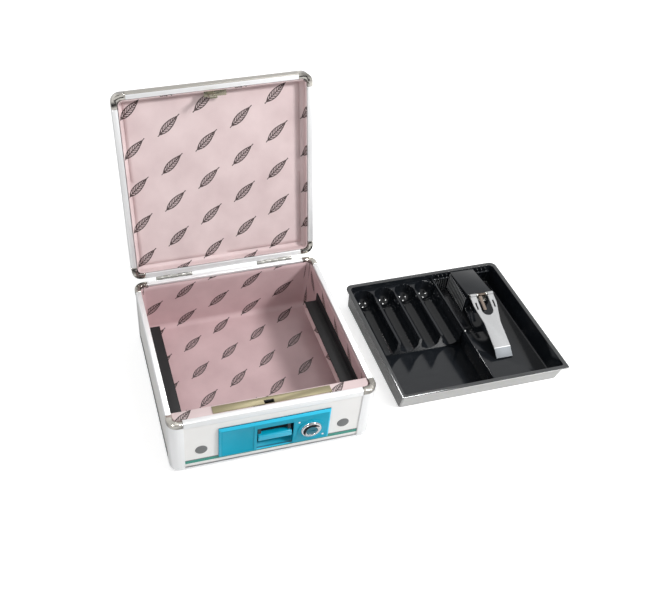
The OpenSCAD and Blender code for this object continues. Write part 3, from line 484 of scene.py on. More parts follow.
def printed_stripe():
    """A green band with a thin grey line along its top edge."""
    made = moulded("printed_stripe", (0.02, 0.21, 0.17), 0.42)
    worn = made.noise(made.place((60, 60, 60)), 12.0)
    line = made.split(made.place())[2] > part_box("front_stripe")[1][2] - LINE_WIDTH
    green = made.blend(worn, (0.018, 0.22, 0.17), (0.03, 0.27, 0.21))
    made.paint(line, green, (0.12, 0.15, 0.15))
    return made


def plate_paint():
    """Turquoise, with a painted highlight on the bevel and painted shade on the back edge and
    pocket.
    """
    made = moulded("turquoise_plate", (0.0, 0.30, 0.41), 0.42)
    made.feed("Specular IOR Level", 0.22)
    across, depth, height = made.split(made.place())
    aside, depth, rise = abs(across - PLATE_MID[0]), depth - PLATE_FACE, height - PLATE_MID[2]
    slow = made.noise(made.place(), 55.0)
    face = made.blend(slow, (0.0, 0.335, 0.480), (0.0, 0.285, 0.420))
    # Painted light: a highlight on the bevel, and shade on the back edge, in the pocket and
    # behind the grip.
    bevel_highlight = made.blend(slow, (0.03, 0.50, 0.72), (0.02, 0.45, 0.66))
    rounded = (aside - PLATE_HALF[0]).maths("MAXIMUM", abs(rise) - PLATE_HALF[2]) > -BEVEL
    back_edge_shade = (depth > BACK_EDGE[0]) * (depth < BACK_EDGE[1])
    painted = made.blend(back_edge_shade, made.blend(rounded, face, bevel_highlight), (0.0, 0.12, 0.19))
    pocket_shade = (depth > POCKET_DEPTH) * (rise > POCKET_RISE[0]) * (rise < POCKET_RISE[1])
    dark = pocket_shade.maths("MAXIMUM", depth > BEHIND_GRIP) * (aside < POCKET_HALF)
    made.paint(dark, painted, (0.0, 0.010, 0.016))
    return made


def tray_plastic():
    """Black plastic: polished inside; rough and painted with a grey reflection where `outside`
    says so.
    """
    made = Finish("tray_plastic", (0.02, 0.021, 0.022), 0.2)
    made.feed("Specular IOR Level", 0.34)
    painted_sheen = made.node("ShaderNodeAttribute", attribute_name="outside", out=2)
    fine = made.noise(made.place(), 2200.0)
    flow = made.noise(made.place((1, 3, 1)), 38.0, detail=3.0)
    # Painted grey reflection on the outside, as the attribute says.
    made.paint(painted_sheen, made.blend(flow, (0.004, 0.0055, 0.008), (0.013, 0.015, 0.018)),
               made.blend(flow, (0.50, 0.50, 0.49), (0.62, 0.62, 0.61)))
    made.feed("Roughness", 0.075 + flow * 0.05 + painted_sheen * 0.33 + fine * 0.03)
    made.bump(fine * 0.4 + flow, 0.00002)
    return made


turquoise, stripe_print, tray_black = plate_paint(), printed_stripe(), tray_plastic()
print("plate face at y = %.1f mm" % (PLATE_FACE / MM))

# %% [markdown]
# ## The finish of each slot
# The record gives each node a material slot. One table gives each slot its finish, and a second
# gives nodes that differ from their slot, such as the rails by the way they run, their own. A
# CAD node keeps its mesh: only its material is changed.

# %% Dress the CAD nodes
SLOT_FINISH = {
    "panel": laminate, "frame": rim_round, "nickel": nickel, "foot": rubber,
    "strike": strike_brass, "rail": rail_plastic, "plate": turquoise, "mark": white_mark,
    "grip": grip_blue, "bezel": bezel_chrome, "key_face": key_blue, "steel": hinge_steel,
    "plug": grey_plug, "stripe": stripe_print, "tray": tray_black, "clip": clip_satin,
    "spring": spring_bronze,
}
NODE_FINISHES = (
    (rim_x, "base_rim_front base_rim_back lid_rail_back"),
    (rim_y, "base_rim_left base_rim_right lid_rail_left lid_rail_right"),
    (rim_z, "corner_posts"), (rim_seam_shadow, "bottom_rails"), (rim_shade, "lid_rail_front"),
    (catch_steel, "lid_catch catch_rivets"), (shadowed_steel, "handle_pin"),
    (hinge_steel, "hinge_base_leaves hinge_lid_leaves"),
)
OWN_FINISH = {name: finish for finish, names in NODE_FINISHES for name in names.split()}
slot_of = {part["node"]: part["material_slot"] for part in frame["record"]["subparts"]}


def finish_of(name):
    """A node's own finish, or its slot's; the cloth slot has none, its nodes are replaced."""
    return OWN_FINISH.get(name) or SLOT_FINISH.get(slot_of[name])


for name, node in frame["nodes"].items():
    if finish_of(name):
        for material_slot in node.material_slots:
            material_slot.material = finish_of(name).material
print("dressed", sum(1 for name in slot_of if finish_of(name)), "of", len(slot_of), "nodes")

# %% [markdown]
# ## Edges that catch the light
# The exact CAD solids have knife edges. Real extrusions and mouldings have a small radius that
# draws a bright line along each edge, and without it a render looks like a diagram. `soften`
# takes a merged copy of a node, joins its flat triangles into whole faces, gives its sharp
# edges a small round, and stands in for the node on the same body.

# %% Soften the hard parts
def reshape(mesh, change, source=None):
    """Fills a mesh from a source, or from itself, after `change` has worked on it as a bmesh."""
    form = bmesh.new()
    form.from_mesh(source or mesh)
    change(form)
    form.to_mesh(mesh)
    form.free()


def join_flat(form):
    """Merges doubled points and joins flat triangles into whole faces."""
    bmesh.ops.remove_doubles(form, verts=form.verts, dist=0.004 * MM)
    bmesh.ops.dissolve_limit(form, angle_limit=math.radians(0.8), verts=form.verts,
                             edges=form.edges)


def merged_copy(node_name, name):
    """An object with the shape of a CAD node, in whole faces."""
    made = show(name, bpy.data.meshes.new(name))
    reshape(made.data, join_flat, source=frame["nodes"][node_name].data)
    return made


def flatten_modifiers(made):
    """Turns an object's modifiers into plain mesh, shaded smooth."""
    depsgraph = bpy.context.evaluated_depsgraph_get()
    mesh = bpy.data.meshes.new_from_object(made.evaluated_get(depsgraph))
    made.modifiers.clear()
    made.data = mesh
    mesh.shade_smooth()


def round_edges(made, finish, width, segments, angle, crease):
    """Rounds edges sharper than an angle in degrees, then shades those past crease hard."""
    made.data.materials.append(finish.material)
    rounds = made.modifiers.new("rounds", "BEVEL")
    rounds.width, rounds.segments = width, segments
    rounds.limit_method, rounds.angle_limit = "ANGLE", math.radians(angle)
    flatten_modifiers(made)
    made.data.set_sharp_from_angle(angle=math.radians(crease))


def stand_in(made, name):
    """Puts a piece in the place of a node: its body, and no copy."""
    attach(made, body_of(frame["nodes"][name])[0])
    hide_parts(name)


def soften(name, width_mm, angle=28.0):
    """A copy of a node with small rounds on its sharp edges, in the node's place."""
    made = merged_copy(name, name + "_rounded")
    round_edges(made, finish_of(name), width_mm * MM, 2, angle, angle + 4)
    stand_in(made, name)
    print("%-20s %6d faces" % (name, len(made.data.polygons)))
    return made


EDGE_ROUNDS_MM = {
    0.7: "carry_handle",
    0.6: "base_rim_corners lid_corners",
    0.5: "base_rim_front base_rim_back base_rim_left base_rim_right front_plate lock_housing "
         "left_tray_rail right_tray_rail tray_divider",
    0.4: "lid_rail_front lid_rail_back lid_rail_left lid_rail_right feet",
    0.35: "bill_clip",
    0.3: "corner_posts bottom_rails bottom_corners lock_cylinder lid_catch clip_bracket",
    0.25: "hinge_base_leaves hinge_lid_leaves clip_pin",
    0.2: "strike_strip panel_plugs lock_bolt lock_cam",
    0.15: "clip_spring",
}
for width, names in EDGE_ROUNDS_MM.items():
    for name in names.split():
        soften(name, width)

# %% [markdown]
# ## The tray's two skins
# The tray is one moulding. Its outside is rough and its inside polished. The outside also gets a
# painted grey reflection of the white floor, its front most of all. The finish reads an attribute
# called `outside`, which is worked out here from which way each face looks: away from the middle
# of the tray, or towards it. The top of the lip looks up and gets a painted highlight.

# %% Mark the tray's outside
SHEEN_SIDE, SHEEN_FRONT, LIP_HIGHLIGHT, LIP_DEEP = 0.22, 0.75, 0.09, 0.6 * MM


def mark_painted_sheen(made):
    """Stores each face's painted reflection: the front most, then the sides, a lip highlight,
    inside none.
    """
    low, high = (Vector(corner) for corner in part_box("tray_body"))
    middle = (low + high) / 2
    marks = made.data.attributes.new("outside", "FLOAT", "FACE")
    outward = 0
    for polygon in made.data.polygons:
        normal, away = polygon.normal, polygon.center - middle
        outwards = normal.x * away.x / (high.x - low.x) + normal.y * away.y / (high.y - low.y)
        # Painted reflection: outward faces turn grey, the more so the more they face the front.
        if normal.z < -0.6 or normal.z < 0.6 and outwards > 0.02:
            painted_sheen = SHEEN_SIDE + SHEEN_FRONT * max(0.0, -normal.y) ** 2
            outward += 1
        else:
            on_lip = normal.z > 0.6 and polygon.center.z > high.z - LIP_DEEP
            painted_sheen = LIP_HIGHLIGHT if on_lip else 0.0
        marks.data[polygon.index].value = painted_sheen
    return outward


soften("clip_stand", 0.5, angle=32.0)
tray_shell = soften("tray_body", 0.5, angle=32.0)
print("tray:", mark_painted_sheen(tray_shell), "of", len(tray_shell.data.polygons), "faces look out")

# %% [markdown]
# ## Rules that repeat
# Rivets, ribs and the channels of the coin rack all follow a rule, so each is a Geometry Nodes
# tree with its sizes as named inputs. `Recipe` is a graph like `Finish`, so `Wire` does its
# maths too. Its result is taken out as plain mesh, because only plain mesh can be exported.

# %% Geometry Nodes recipes
class Recipe(Graph):
    """One Geometry Nodes tree, with named inputs for its sizes."""

    def __init__(self, name, **sizes):
        super().__init__(bpy.data.node_groups.new(name, "GeometryNodeTree"))
        self.sizes = sizes
        self.tree.interface.new_socket("Geometry", in_out="OUTPUT",
                                       socket_type="NodeSocketGeometry")
        for label, value in sizes.items():
            kind = "NodeSocketInt" if isinstance(value, int) else "NodeSocketFloat"
            self.tree.interface.new_socket(label, in_out="INPUT", socket_type=kind)

    def size(self, label):
        return self.node("NodeGroupInput", out=label)

    def vector(self, x=0.0, y=0.0, z=0.0):
        return self.node("ShaderNodeCombineXYZ", [x, y, z])

    def bake(self, geometry, finish, name):
        """Ends the tree, sets its inputs by identifier and gives its result as a plain mesh."""
        real = self.node("GeometryNodeRealizeInstances", [geometry])
        dressed = self.node("GeometryNodeSetMaterial", {"Geometry": real,
                                                        "Material": finish.material})
        end = self.tree.nodes.new("NodeGroupOutput")
        self.join(end.inputs[0], dressed)
        made = show(name, bpy.data.meshes.new(name))
        rule = made.modifiers.new("rule", "NODES")
        rule.node_group = self.tree
        for item in self.tree.interface.items_tree:
            if item.in_out == "INPUT":
                rule[item.identifier] = self.sizes[item.name]
        flatten_modifiers(made)
        return made


print("recipes are ready for rivets, ribs and channels")

# %% [markdown]
# ## Coin rack
# Four half-round channels lie side by side, and each ends in a scoop for a fingertip. Seen from
# above this is a height for every point, so it is made as one: a fine grid whose points are
# lowered by a formula. How far a point lies inside a channel or a scoop decides how much of the
# drop it gets, which also gives the ridges their round shoulders. The grid's outermost row is
# folded down as the rack's sides.

# %% Channels by rule
SIDE_ROW_X, SIDE_ROW_Y = 1.0085, 1.0095
RACK_LOW, RACK_HIGH = (Vector(corner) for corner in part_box("coin_rack"))
rack = Recipe("coin_rack_rule", Width=RACK_HIGH.x - RACK_LOW.x, Length=RACK_HIGH.y - RACK_LOW.y,
              Top=RACK_HIGH.z, Foot=RACK_LOW.z, Pitch=0.0306, Radius=0.0137, Scoop=0.0145,
              Axis=0.0183, Edge=0.0013, Back=0.0016, Shoulder=0.0008, Columns=240, Rows=212)
width, length, top, foot = (rack.size(label) for label in ("Width", "Length", "Top", "Foot"))
radius, scoop, pitch, axis = (rack.size(label) for label in ("Radius", "Scoop", "Pitch", "Axis"))
grid = rack.node("GeometryNodeMeshGrid", {
    "Size X": width * SIDE_ROW_X, "Size Y": length * SIDE_ROW_Y,
    "Vertices X": rack.size("Columns"), "Vertices Y": rack.size("Rows")})
x, y, _ = rack.split(rack.node("GeometryNodeInputPosition"))
half_x, half_y = width / 2, length / 2
first = half_x - rack.size("Edge") - radius
across = abs((x + first + pitch / 2) % pitch - pitch / 2)  # from the nearest channel's middle
past = y - (half_y - rack.size("Back") - scoop)  # beyond the middle of its scoop
from_scoop = (across * across + past * past).maths("SQRT")
in_channel, in_scoop = (radius - across).maths("MINIMUM", past * -1.0), scoop - from_scoop


def hollow_floor(radius, across, outside):
    """The height of a round hollow's floor, raised out of the way where it doesn't reach."""
    drop = (radius * radius - across * across).maths("MAXIMUM", 0.0).maths("SQRT")
    return axis - drop + outside


channel_floor = hollow_floor(radius, across, past > 0.0)
scoop_floor = hollow_floor(scoop, from_scoop, in_scoop < 0.0)
share = rack.node("ShaderNodeMapRange", {"Value": in_channel.maths("MAXIMUM", in_scoop),
                                         "From Max": rack.size("Shoulder")},
                  interpolation_type="SMOOTHSTEP")
lowest = channel_floor.maths("MINIMUM", scoop_floor).maths("MINIMUM", top)
beyond = (abs(x) > half_x).maths("MAXIMUM", abs(y) > half_y)
level = (top - (top - lowest) * share) * (1.0 - beyond) + foot * beyond
folded_x, folded_y = (flat.maths("MINIMUM", half).maths("MAXIMUM", half * -1.0)
                      for flat, half in ((x, half_x), (y, half_y)))
lowered = rack.node("GeometryNodeSetPosition", {
    "Geometry": grid, "Position": rack.vector(folded_x, folded_y, level)})
coins = rack.bake(lowered, tray_black, "coin_rack_moulding")
print("coin rack", len(coins.data.polygons), "faces")

# %% [markdown]
# ## Fit the rack into the tray
# One corner of the rack stands in the tray's round corner, and its foot in the cove of the
# tray's floor, so both are drawn in, point by point. Then the open foot is filled.

# %% Close the rack and place it
ROUND_CORNER, COVE_ROOM = 8.0 * MM, 2.4 * MM


def close_rack(form):
    """Draws the back left corner and the foot in, and closes the foot."""
    low, high = (Vector([pick(v.co[k] for v in form.verts) for k in range(3)])
                 for pick in (min, max))
    centre = Vector((low.x + ROUND_CORNER, high.y - ROUND_CORNER))
    for point in (vertex.co for vertex in form.verts):
        off = point.xy - centre
        if off.x < 0 < off.y and off.length > ROUND_CORNER:
            point.xy = centre + off.normalized() * ROUND_CORNER
        if point.z < low.z + 0.01 * MM:
            point.x = max(point.x, low.x + COVE_ROOM)
            point.y = min(point.y, high.y - COVE_ROOM)
    bmesh.ops.remove_doubles(form, verts=form.verts, dist=0.01 * MM)
    bmesh.ops.holes_fill(form, edges=form.edges, sides=0)
    bmesh.ops.recalc_face_normals(form, faces=form.faces)


reshape(coins.data, close_rack)
middle = (RACK_LOW + RACK_HIGH) / 2
coins.data.transform(Matrix.Translation((middle.x, middle.y, 0)))
coins.data.set_sharp_from_angle(angle=math.radians(52))
stand_in(coins, "coin_rack")
print("coin rack closed,", len(coins.data.polygons), "faces")

# %% [markdown]
# ## Rivets
# Every hinge leaf is held by three domed rivets. One tree makes those of both hinges: a row of
# points, a row of such rows, and a head with its shank on each point. The lid's rivets are set
# as if the lid were shut and then turned open with it, about the hinge pin.

# %% Rivets by rule
LEAF_BACK, RIVET_DROP = 0.1240, 7.6 * MM


def open_lid(made):
    """Turns a piece modelled on the closed lid to where the open lid is."""
    made.data.transform(Matrix.Translation(HINGE) @ Matrix.Rotation(-LID_OPEN, 4, "X")
                        @ Matrix.Translation(-HINGE))
    made.data.update()


def row_of(rule, count, pitch):
    """A centred row of points along X."""
    count, pitch = rule.size(count), rule.size(pitch)
    start = rule.vector((count - 1.0) * pitch * -0.5)
    return rule.node("GeometryNodeMeshLine", {"Count": count, "Start Location": start,
                                              "Offset": rule.vector(pitch)})


def hinge_rivets(name):
    """The domed rivets of two leaves, looking along -Y, with their shanks behind them."""
    rule = Recipe(name + "_rule", Leaves=2, Apart=0.139, Count=3, Step=0.01875,
                  Head=0.0019, Dome=0.0008, Shank=0.00115, Depth=0.001)
    both = rule.node("GeometryNodeInstanceOnPoints", {
        "Points": row_of(rule, "Leaves", "Apart"), "Instance": row_of(rule, "Count", "Step")})
    points = rule.node("GeometryNodeRealizeInstances", [both])
    head, depth = rule.size("Head"), rule.size("Depth")
    ball = rule.node("GeometryNodeMeshUVSphere", {"Segments": 20, "Rings": 12, "Radius": 1.0})
    dome = rule.node("GeometryNodeTransform", {
        "Geometry": ball, "Scale": rule.vector(head, rule.size("Dome"), head)})
    stem = rule.node("GeometryNodeMeshCylinder", {"Vertices": 16, "Radius": rule.size("Shank"),
                                                  "Depth": depth})
    laid = rule.node("GeometryNodeTransform", {
        "Geometry": stem, "Rotation": (math.pi / 2, 0, 0),
        "Translation": rule.vector(y=depth / 2)})
    rivet = rule.node("GeometryNodeJoinGeometry", [dome])
    rule.join(rivet.socket.node.inputs[0], laid)
    riveted = rule.node("GeometryNodeInstanceOnPoints", {"Points": points, "Instance": rivet})
    return rule.bake(riveted, nickel, name)


for name, upwards in (("hinge_base_rivets", -1), ("hinge_lid_rivets", 1)):
    rivets = hinge_rivets(name + "_domed")
    rivets.data.transform(Matrix.Rotation(math.pi, 4, "Z"))
    rivets.data.transform(Matrix.Translation((0, LEAF_BACK, HINGE.z + upwards * RIVET_DROP)))
    if name == "hinge_lid_rivets":
        open_lid(rivets)
    stand_in(rivets, name)
    print(name, len(rivets.data.polygons), "faces")

# %% [markdown]
# ## Fluted walls
# The stand's flank and the wall beside it are fluted, so that notes don't cling to them. A flute
# is a half-round rib. The tree sets a row of them along a wall from its count, pitch and height.
# The flutes are painted lighter than the tray's black, as a painted highlight.

# %% Flutes by rule
TRAY_LOW = Vector(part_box("tray_body")[0])
FLUTE_PITCH, FLUTE_FOOT = 3.6 * MM, 4.6 * MM
FLANK_AT, WALL_AT = (0.1587, 0.1802), (0.1450, 0.2079)


def flutes(name, count, radius, height, at, turn, finish):
    """A row of upright half-round ribs, its middle at a place in the tray, turned about Z."""
    rule = Recipe(name + "_rule", Count=count, Pitch=FLUTE_PITCH, Radius=radius, Height=height)
    tall = rule.size("Height")
    bar = rule.node("GeometryNodeMeshCylinder", {"Vertices": 12, "Radius": rule.size("Radius"),
                                                 "Depth": tall})
    upright = rule.node("GeometryNodeTransform", {"Geometry": bar,
                                                  "Translation": rule.vector(z=tall / 2)})
    ribs = rule.node("GeometryNodeInstanceOnPoints", {"Points": row_of(rule, "Count", "Pitch"),
                                                      "Instance": upright})
    made = rule.bake(ribs, finish, name)
    made.data.set_sharp_from_angle(angle=math.radians(60))
    made.data.transform(
        Matrix.Translation((TRAY_LOW.x + at[0], TRAY_LOW.y + at[1], FLUTE_FOOT))
        @ Matrix.Rotation(math.radians(turn), 4, "Z"))
    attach(made, "tray")
    print(name, count, "flutes")


flutes("stand_flutes", 15, 0.6 * MM, 26.2 * MM, FLANK_AT, 90, ribbed_flank)
flutes("wall_flutes", 7, 0.8 * MM, 20.5 * MM, WALL_AT, 0, rib_highlight)

# %% [markdown]
# ## The printed lining
# The lining is a pink non-woven cloth on thin foam, printed in brown. It was printed flat, so
# the print has to run over the coves and up the walls without a break. That is why the lining
# has a UV map in metres: the floor keeps its own x and y, and each wall carries on outwards by
# the length of cloth that climbs it, as if the box were unfolded. The print itself is a leaf
# sprig in a half-drop layout, worked out from those UVs.

# %% Cloth with a leaf print
CELL_U, CELL_V = 46.0 * MM, 50.0 * MM
LEAF_LEN, LEAF_WIDE = 17.2 * MM, 5.2 * MM
OUTLINE, MIDRIB, VEIN_STEP, VEIN_WIDE = 1.3 * MM, 0.62 * MM, 3.0 * MM, 1.75 * MM
SLANT, INK_WANDER = math.radians(41), 0.7 * MM


def leaf_cloth(name, light, shade):
    """Pink lining cloth with slanting leaf sprigs in worn brown ink."""
    made = Finish(name, light, 0.72)
    cloth = made.node("ShaderNodeUVMap", uv_map="cloth")
    wander = made.node("ShaderNodeTexNoise", {"Vector": cloth, "Scale": 900.0}, out=1)
    shift = made.node("ShaderNodeVectorMath", [wander, (0.5, 0.5, 0.5)], operation="SUBTRACT")
    shift = made.node("ShaderNodeVectorMath", {0: shift, "Scale": INK_WANDER}, operation="SCALE")
    u, v, _ = made.split(made.node("ShaderNodeVectorMath", [cloth, shift], operation="ADD"))
    column = ((u + 1.0) / CELL_U).maths("FLOOR")
    across = (u + 1.0) % CELL_U - CELL_U / 2
    along = (v + 1.0 + (column % 2.0) * (CELL_V / 2)) % CELL_V - CELL_V / 2
    stem = across * math.cos(SLANT) + along * math.sin(SLANT)
    side = abs(along * math.cos(SLANT) - across * math.sin(SLANT))
    reach = stem / LEAF_LEN
    edge = (1.0 - reach * reach) * LEAF_WIDE * (1.0 - reach * 0.28)
    inside = (side < edge) * (abs(stem) < LEAF_LEN)
    outline = inside * (side > edge - OUTLINE)
    midrib = (side < MIDRIB) * (abs(stem) < LEAF_LEN * 1.12)
    veins = inside * (side < edge - OUTLINE) * (((stem - side * 1.15) % VEIN_STEP) < VEIN_WIDE)
    ink = outline.maths("MAXIMUM", midrib).maths("MAXIMUM", veins)
    fibre = made.noise(cloth, 2600.0, detail=3.0, roughness=0.65)
    tuft = made.noise(cloth, 420.0)
    patch = made.noise(cloth, 22.0, detail=3.0)
    pink = made.blend(fibre * 0.7 + (patch - 0.5) * 1.1 + 0.18, light, shade)
    brown = made.blend(tuft, (0.014, 0.006, 0.006), (0.042, 0.020, 0.018))
    cover = ink * (0.92 + patch * 0.08 - (fibre > 0.66) * 0.30)
    made.paint(cover, pink, brown)
    made.feed("Roughness", 0.60 + fibre * 0.22 - ink * 0.08)
    made.bump(fibre * 0.5 + tuft * 0.5, 0.00016, 0.8)
    return made


cloth = leaf_cloth("leaf_cloth", (0.800, 0.665, 0.660), (0.560, 0.430, 0.435))
shaded_cloth = leaf_cloth("leaf_cloth_napped", (0.655, 0.480, 0.490), (0.440, 0.300, 0.312))
print("leaf sprigs every %.0f x %.0f mm" % (CELL_U / MM, CELL_V / MM))

# %% [markdown]
# ## A lined hollow
# The lining of the well is one soft tray: a floor, a cove where the cloth won't fold sharply,
# and four walls with round upright corners. It is a loft of rounded rectangles that step out
# from the floor, round the cove and up the wall. Foam under cloth is a little uneven, so every
# point also moves a little along a slow wave, which is enough to bend the light.

# %% Loft a lined hollow
GRID_STEPS, CORNER_STEPS, COVE_STEPS, WALL_STEPS = 40, 6, 8, 10
WAVE_SIZE, RIM_FADE = 45.0 * MM, 12.0 * MM


def ring(half_x, half_y, radius):
    """A rounded rectangle as (x, y, outward x, outward y), anticlockwise from the front left."""
    radius = max(radius, 0.01 * MM)
    ax, ay = half_x - radius, half_y - radius
    sides = (((-ax, -half_y), (ax, -half_y), (0, -1)), ((half_x, -ay), (half_x, ay), (1, 0)),
             ((ax, half_y), (-ax, half_y), (0, 1)), ((-half_x, ay), (-half_x, -ay), (-1, 0)))
    points = []
    for k, (start, stop, out) in enumerate(sides):
        for i in range(GRID_STEPS):
            t = i / GRID_STEPS
            points.append((start[0] + (stop[0] - start[0]) * t,
                           start[1] + (stop[1] - start[1]) * t, *out))
        for i in range(CORNER_STEPS):
            turn = math.radians(90 * k - 90 + 90 * i / CORNER_STEPS)
            points.append((stop[0] - out[0] * radius + radius * math.cos(turn),
                           stop[1] - out[1] * radius + radius * math.sin(turn),
                           math.cos(turn), math.sin(turn)))
    return points


def wave(x, y, z, size, seed):
    """A slow uneven wave between -1 and 1."""
    return (math.sin(x / size * 2.1 + seed) * math.cos(y / size * 1.7 + 1.3 * seed)
            + 0.5 * math.sin((x + y) / size * 3.3 + z / size * 2.2 + seed)) / 1.5


def quads(rows, count, first=0, closed=True):
    """The faces between rows of points, each row closed on itself or left open."""
    pairs = [(first + i * count + j, first + i * count + (j + 1) % count)
             for i in range(rows) for j in range(count if closed else count - 1)]
    return [(a, a + count, b + count, b) for a, b in pairs]


def cloth_object(name, points, faces, maps, merge=0.06 * MM):
    """A cloth mesh with its UV map, its doubles merged and its finish."""
    made = add_mesh(name, points, faces, cloth)
    made.data.shade_smooth()
    layer = made.data.uv_layers.new(name="cloth")
    for loop in made.data.loops:
        layer.data[loop.index].uv = maps[loop.vertex_index]
    reshape(made.data,
            lambda form: bmesh.ops.remove_doubles(form, verts=form.verts, dist=merge))
    return made


def lined_hollow(name, half_x, half_y, low, high, cove, corner, puff, seed, way=1):
    """A floor, cove and walls of cloth, seen from inside, with its unfolded UV map."""
    def swell(x, y, rise):
        return puff * (0.5 + 0.5 * wave(x, y, rise, WAVE_SIZE, seed))

    bends = [math.radians(90 * i / COVE_STEPS) for i in range(COVE_STEPS + 1)]
    climbs = [(high - low - cove) * i / WALL_STEPS for i in range(1, WALL_STEPS + 1)]
    profile = [(cove * (1 - math.sin(a)), cove * (1 - math.cos(a)), cove * a) for a in bends]
    profile += [(0.0, cove + climb, cove * math.pi / 2 + climb) for climb in climbs]
    foot = ring(half_x - cove, half_y - cove, corner - cove)
    points, maps = [], []
    for inset, rise, length in profile:
        here = ring(half_x - inset, half_y - inset, corner - inset)
        for (x, y, nx, ny), (fx, fy, _, _) in zip(here, foot):
            lift = swell(x, y, rise)
            push = lift * min(1.0, (high - low - rise) / RIM_FADE) * min(1.0, rise / cove)
            points.append((x - nx * push, y - ny * push,
                           low + rise + lift * max(0.0, 1 - rise / cove)))
            maps.append((fx + nx * length, way * (fy + ny * length)))
    faces = quads(len(profile) - 1, len(foot))
    faces += quads(GRID_STEPS, GRID_STEPS + 1, len(points), closed=False)
    for i in range(GRID_STEPS + 1):
        for j in range(GRID_STEPS + 1):
            x, y = ((half - cove) * (2 * k / GRID_STEPS - 1)
                    for half, k in ((half_x, i), (half_y, j)))
            points.append((x, y, low + swell(x, y, 0)))
            maps.append((x, way * y))
    return cloth_object(name, points, faces, maps)


print("a ring has", len(ring(1, 1, 0)), "points")

# %% [markdown]
# ## The well
# The well's cloth stops at the boards over the lock, so the faces that would lie behind them are
# cut out. Then the cloth gets its foam as real thickness. Its cloth is the lid's, painted a
# little darker as painted shade.

# %% Line the well
INNER_X, INNER_Y, INNER_LOW = 0.1180, 0.1160, 0.0091
LINING_TOP, COVE = 0.0879, 0.0080
LEDGE_Y, LEDGE_Z = -0.1020, 0.0900
CUT_BACK, CUT_LOW = LEDGE_Y - 2.6 * MM, INNER_LOW + 1.5 * MM


def back_with_foam(made, thickness):
    """Gives a cloth its foam, on the side that isn't seen."""
    foam = made.modifiers.new("foam", "SOLIDIFY")
    foam.thickness, foam.offset = -thickness, 1.0
    flatten_modifiers(made)


def lay_in(made, name):
    """Puts a padded piece in the place of its node."""
    stand_in(made, name)
    print(made.name, len(made.data.polygons), "faces")


def cut_front(form):
    """Takes out the faces behind the boards over the lock."""
    middles = ((face, face.calc_center_median()) for face in form.faces)
    hidden = [face for face, middle in middles if abs(middle.x) < INNER_X - COVE
              and middle.y < CUT_BACK and middle.z > CUT_LOW]
    bmesh.ops.delete(form, geom=hidden, context="FACES")


well = lined_hollow("well_lining", INNER_X, INNER_Y, INNER_LOW, LINING_TOP, COVE, COVE,
                    puff=0.4 * MM, seed=0.7)
# The well's cloth is the lid's print painted darker: painted shade.
well.data.materials[0] = shaded_cloth.material
reshape(well.data, cut_front)
back_with_foam(well, 0.9 * MM)
lay_in(well, "base_lining")

# %% [markdown]
# ## The lid's lining
# The lid is modelled closed, as it was drawn, and then turned open about the hinge pin like
# the CAD lid. Its lining is the same loft turned upside down, with a tighter cove because the
# lid is only 12 mm deep.

# %% Line the lid
LID_X, LID_Y, LID_TOP, LID_LOW = 0.11625, 0.11425, 0.1055, 0.0934

lid_cloth = lined_hollow("lid_cloth", LID_X, LID_Y, 0.0, LID_TOP - LID_LOW, 4.5 * MM, 5.2 * MM,
                         puff=0.35 * MM, seed=2.1, way=-1)
lid_cloth.data.transform(Matrix.Translation((0, 0, LID_TOP)) @ Matrix.Diagonal((1, 1, -1, 1)))
lid_cloth.data.flip_normals()
back_with_foam(lid_cloth, 1.0 * MM)
open_lid(lid_cloth)
lay_in(lid_cloth, "lid_lining")

# %% [markdown]
# ## Lined boards
# Boards covered in the same cloth close off the lock at the front and carry the tray's rails at
# the sides. A covered board has no sharp edge anywhere, because the cloth is pulled round it.
# The two battens are lofted from rounded sections, with their cloth unfolded in the same way.

# %% Cover the battens
BATTEN_Y, BATTEN_Z, BATTEN_IN = (-0.1015, 0.0765), (0.0322, 0.0502), 0.1025
BATTEN_ROUND, ROUND_STEPS, ROWS = 1.2 * MM, 3, 36
BATTEN_PUFF, BATTEN_WAVE, PRINT_SHIFT = 0.09 * MM, 30.0 * MM, 0.11


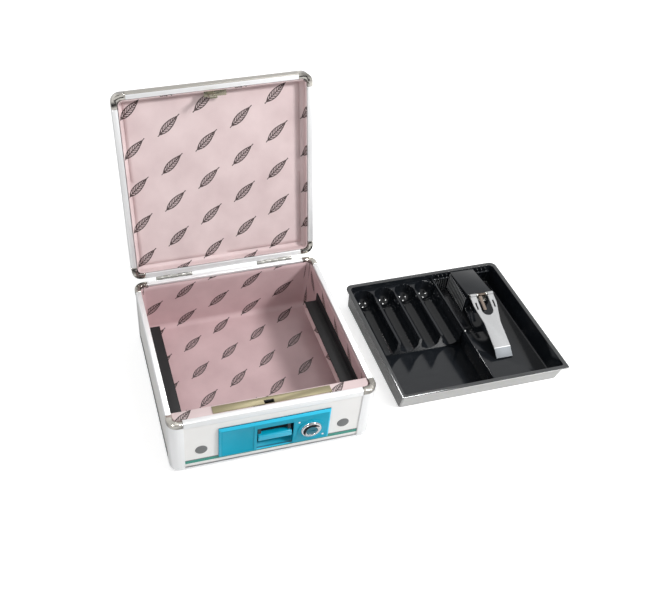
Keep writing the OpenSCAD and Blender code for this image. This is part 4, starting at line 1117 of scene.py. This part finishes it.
def covered_box(name, xs, ys, zs, radius, shift):
    """A board with rounded edges, its cloth wrapped round it along Y and shifted across."""
    section, lengths, girth = [], [], 0.0
    for corner, (x, z) in enumerate(((xs[1] - radius, zs[1] - radius),
                                     (xs[0] + radius, zs[1] - radius),
                                     (xs[0] + radius, zs[0] + radius),
                                     (xs[1] - radius, zs[0] + radius))):
        for i in range(ROUND_STEPS + 1):
            turn = math.radians(90 * corner + 90 * i / ROUND_STEPS)
            section.append((x + radius * math.cos(turn), z + radius * math.sin(turn)))
    for here, there in zip(section, section[1:] + section[:1]):
        lengths.append(girth)
        girth += math.dist(here, there)
    count = len(section)
    points, maps = [], []
    for i in range(ROWS + 1):
        y = ys[0] + (ys[1] - ys[0]) * i / ROWS
        for (x, z), length in zip(section, lengths):
            puff = BATTEN_PUFF * wave(x, y, z, BATTEN_WAVE, seed=1.0)
            points.append((x + puff * (1 if x > (xs[0] + xs[1]) / 2 else -1), y, z + puff))
            maps.append((shift + length, y))
    faces = quads(ROWS, count) + [tuple(range(count)), tuple(range(ROWS * count, len(points)))]
    made = cloth_object(name, points, faces, maps, merge=0.0001 * MM)
    reshape(made.data, lambda form: bmesh.ops.recalc_face_normals(form, faces=form.faces))
    made.data.set_sharp_from_angle(angle=math.radians(50))
    return made


for side, name in ((1, "right_batten"), (-1, "left_batten")):
    lay_in(covered_box(name + "_cloth", sorted((side * BATTEN_IN, side * INNER_X)), BATTEN_Y,
                       BATTEN_Z, BATTEN_ROUND, PRINT_SHIFT * side), name)

# %% [markdown]
# ## The ledge over the lock
# The boards over the lock have cut-outs and steps, so this piece keeps the CAD's shape, with its
# edges rounded. The print runs over its top and down its walls as on one sheet. The walls of the
# cut-outs are dark.

# %% Cover the ledge
PRINT_X, PRINT_Y = 4.0 * MM, 13.0 * MM
IN_X, IN_Y, LEVEL = 3.0 * MM, 0.8 * MM, 0.7

ledge = merged_copy("front_ledge", "ledge_cloth")
round_edges(ledge, cloth, 0.7 * MM, 3, 40, 46)
# The walls of the cut-outs get the dark rubber finish.
ledge.data.materials.append(rubber.material)
layer = ledge.data.uv_layers.new(name="cloth")
low, high = (Vector(corner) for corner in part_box("front_ledge"))
for polygon in ledge.data.polygons:
    is_level = abs(polygon.normal.z) > LEVEL
    for index in polygon.loop_indices:
        x, y, z = ledge.data.vertices[ledge.data.loops[index].vertex_index].co
        v = y if is_level else LEDGE_Y + LEDGE_Z - z
        layer.data[index].uv = (x + PRINT_X, v + PRINT_Y)
    x, y, _ = polygon.center
    inside = low.x + IN_X < x < high.x - IN_X and low.y + IN_Y < y < high.y - IN_Y
    polygon.material_index = 1 if inside and not is_level else 0
lay_in(ledge, "front_ledge")
